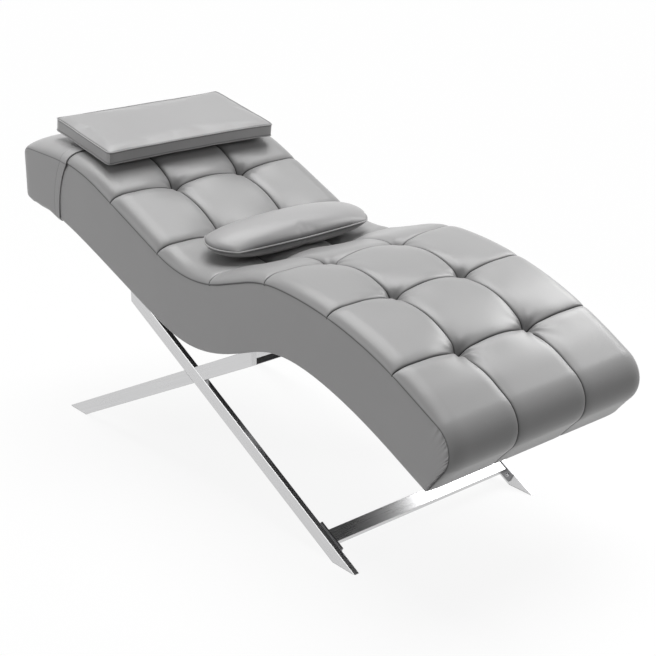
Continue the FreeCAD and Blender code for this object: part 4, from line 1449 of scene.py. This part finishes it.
def surroundings(strength):
    """White where it is seen, and a soft light from all round."""
    maker = WorldMaker("studio_white")
    soft = maker.node("ShaderNodeBackground", None, {"Color": (1, 1, 1, 1), "Strength": strength})[0]
    white = maker.node("ShaderNodeBackground", None, {"Color": (1, 1, 1, 1), "Strength": 1.0})[0]
    mixed = maker.node("ShaderNodeMixShader", None, {0: seen_directly(maker), 1: soft, 2: white})[0]
    maker.node("ShaderNodeOutputWorld", None, {"Surface": mixed})
    return maker.world


# Operators, panel and registration

class LASHBED_OT_tufted_top(bpy.types.Operator):
    """Quilt the top of the bed"""

    bl_idname = "lash_bed.tufted_top"
    bl_label = "Tufted top"

    def execute(self, context):
        build_tufted_top(context.scene.lash_bed)
        return {"FINISHED"}


class LASHBED_OT_side_panels(bpy.types.Operator):
    """Pad the two side panels"""

    bl_idname = "lash_bed.side_panels"
    bl_label = "Side panels"

    def execute(self, context):
        build_side_panels(context.scene.lash_bed)
        return {"FINISHED"}


class LASHBED_OT_head_cover(bpy.types.Operator):
    """Draw the cover over the head end"""

    bl_idname = "lash_bed.head_cover"
    bl_label = "Head cover"

    def execute(self, context):
        build_head_cover(context.scene.lash_bed)
        return {"FINISHED"}


class LASHBED_OT_head_pillow(bpy.types.Operator):
    """Fill the head pillow"""

    bl_idname = "lash_bed.head_pillow"
    bl_label = "Head pillow"

    def execute(self, context):
        build_head_pillow(context.scene.lash_bed)
        return {"FINISHED"}


class LASHBED_OT_lumbar_pillow(bpy.types.Operator):
    """Fill the lumbar pillow"""

    bl_idname = "lash_bed.lumbar_pillow"
    bl_label = "Lumbar pillow"

    def execute(self, context):
        build_lumbar_pillow(context.scene.lash_bed)
        return {"FINISHED"}


class LASHBED_OT_inner_padding(bpy.types.Operator):
    """Lay the foam inside the body"""

    bl_idname = "lash_bed.inner_padding"
    bl_label = "Inner padding"

    def execute(self, context):
        build_inner_padding(context.scene.lash_bed)
        return {"FINISHED"}


class LASHBED_OT_dust_cloth(bpy.types.Operator):
    """Stretch the cloth under the body"""

    bl_idname = "lash_bed.dust_cloth"
    bl_label = "Dust cloth"

    def execute(self, context):
        build_dust_cloth(context.scene.lash_bed)
        return {"FINISHED"}


class LASHBED_OT_base(bpy.types.Operator):
    """Polish the steel base"""

    bl_idname = "lash_bed.base"
    bl_label = "Steel base"

    def execute(self, context):
        build_base(context.scene.lash_bed)
        return {"FINISHED"}


class LASHBED_OT_inner_frame(bpy.types.Operator):
    """Finish the wooden frame"""

    bl_idname = "lash_bed.inner_frame"
    bl_label = "Inner frame"

    def execute(self, context):
        build_inner_frame(context.scene.lash_bed)
        return {"FINISHED"}


class LASHBED_OT_studio(bpy.types.Operator):
    """Set up the floor, the lights and the camera"""

    bl_idname = "lash_bed.studio"
    bl_label = "Studio"

    def execute(self, context):
        build_studio(context.scene.lash_bed)
        return {"FINISHED"}


OPERATORS = (
    LASHBED_OT_tufted_top,
    LASHBED_OT_side_panels,
    LASHBED_OT_head_cover,
    LASHBED_OT_head_pillow,
    LASHBED_OT_lumbar_pillow,
    LASHBED_OT_inner_padding,
    LASHBED_OT_dust_cloth,
    LASHBED_OT_base,
    LASHBED_OT_inner_frame,
    LASHBED_OT_studio,
)


class LASHBED_PT_panel(bpy.types.Panel):
    """Lists the steps that build the bed."""

    bl_idname = "LASHBED_PT_panel"
    bl_label = "Lash bed"
    bl_space_type = "VIEW_3D"
    bl_region_type = "UI"
    bl_category = "Lash bed"

    def draw(self, context):
        for operator in OPERATORS:
            self.layout.operator(operator.bl_idname)


CLASSES = (
    SeamSizes, TuftSizes, PanelSizes, PillowSizes, Finishes, StudioSettings, LashBedSettings,
    *OPERATORS, LASHBED_PT_panel,
)


def register():
    for item in CLASSES:
        bpy.utils.register_class(item)
    bpy.types.Scene.lash_bed = PointerProperty(type=LashBedSettings)


def unregister():
    del bpy.types.Scene.lash_bed
    for item in reversed(CLASSES):
        bpy.utils.unregister_class(item)


def main():
    """Builds everything in order."""
    register()
    for operator in OPERATORS:
        group, name = operator.bl_idname.split(".")
        getattr(getattr(bpy.ops, group), name)()


if __name__ == "__main__":
    main()
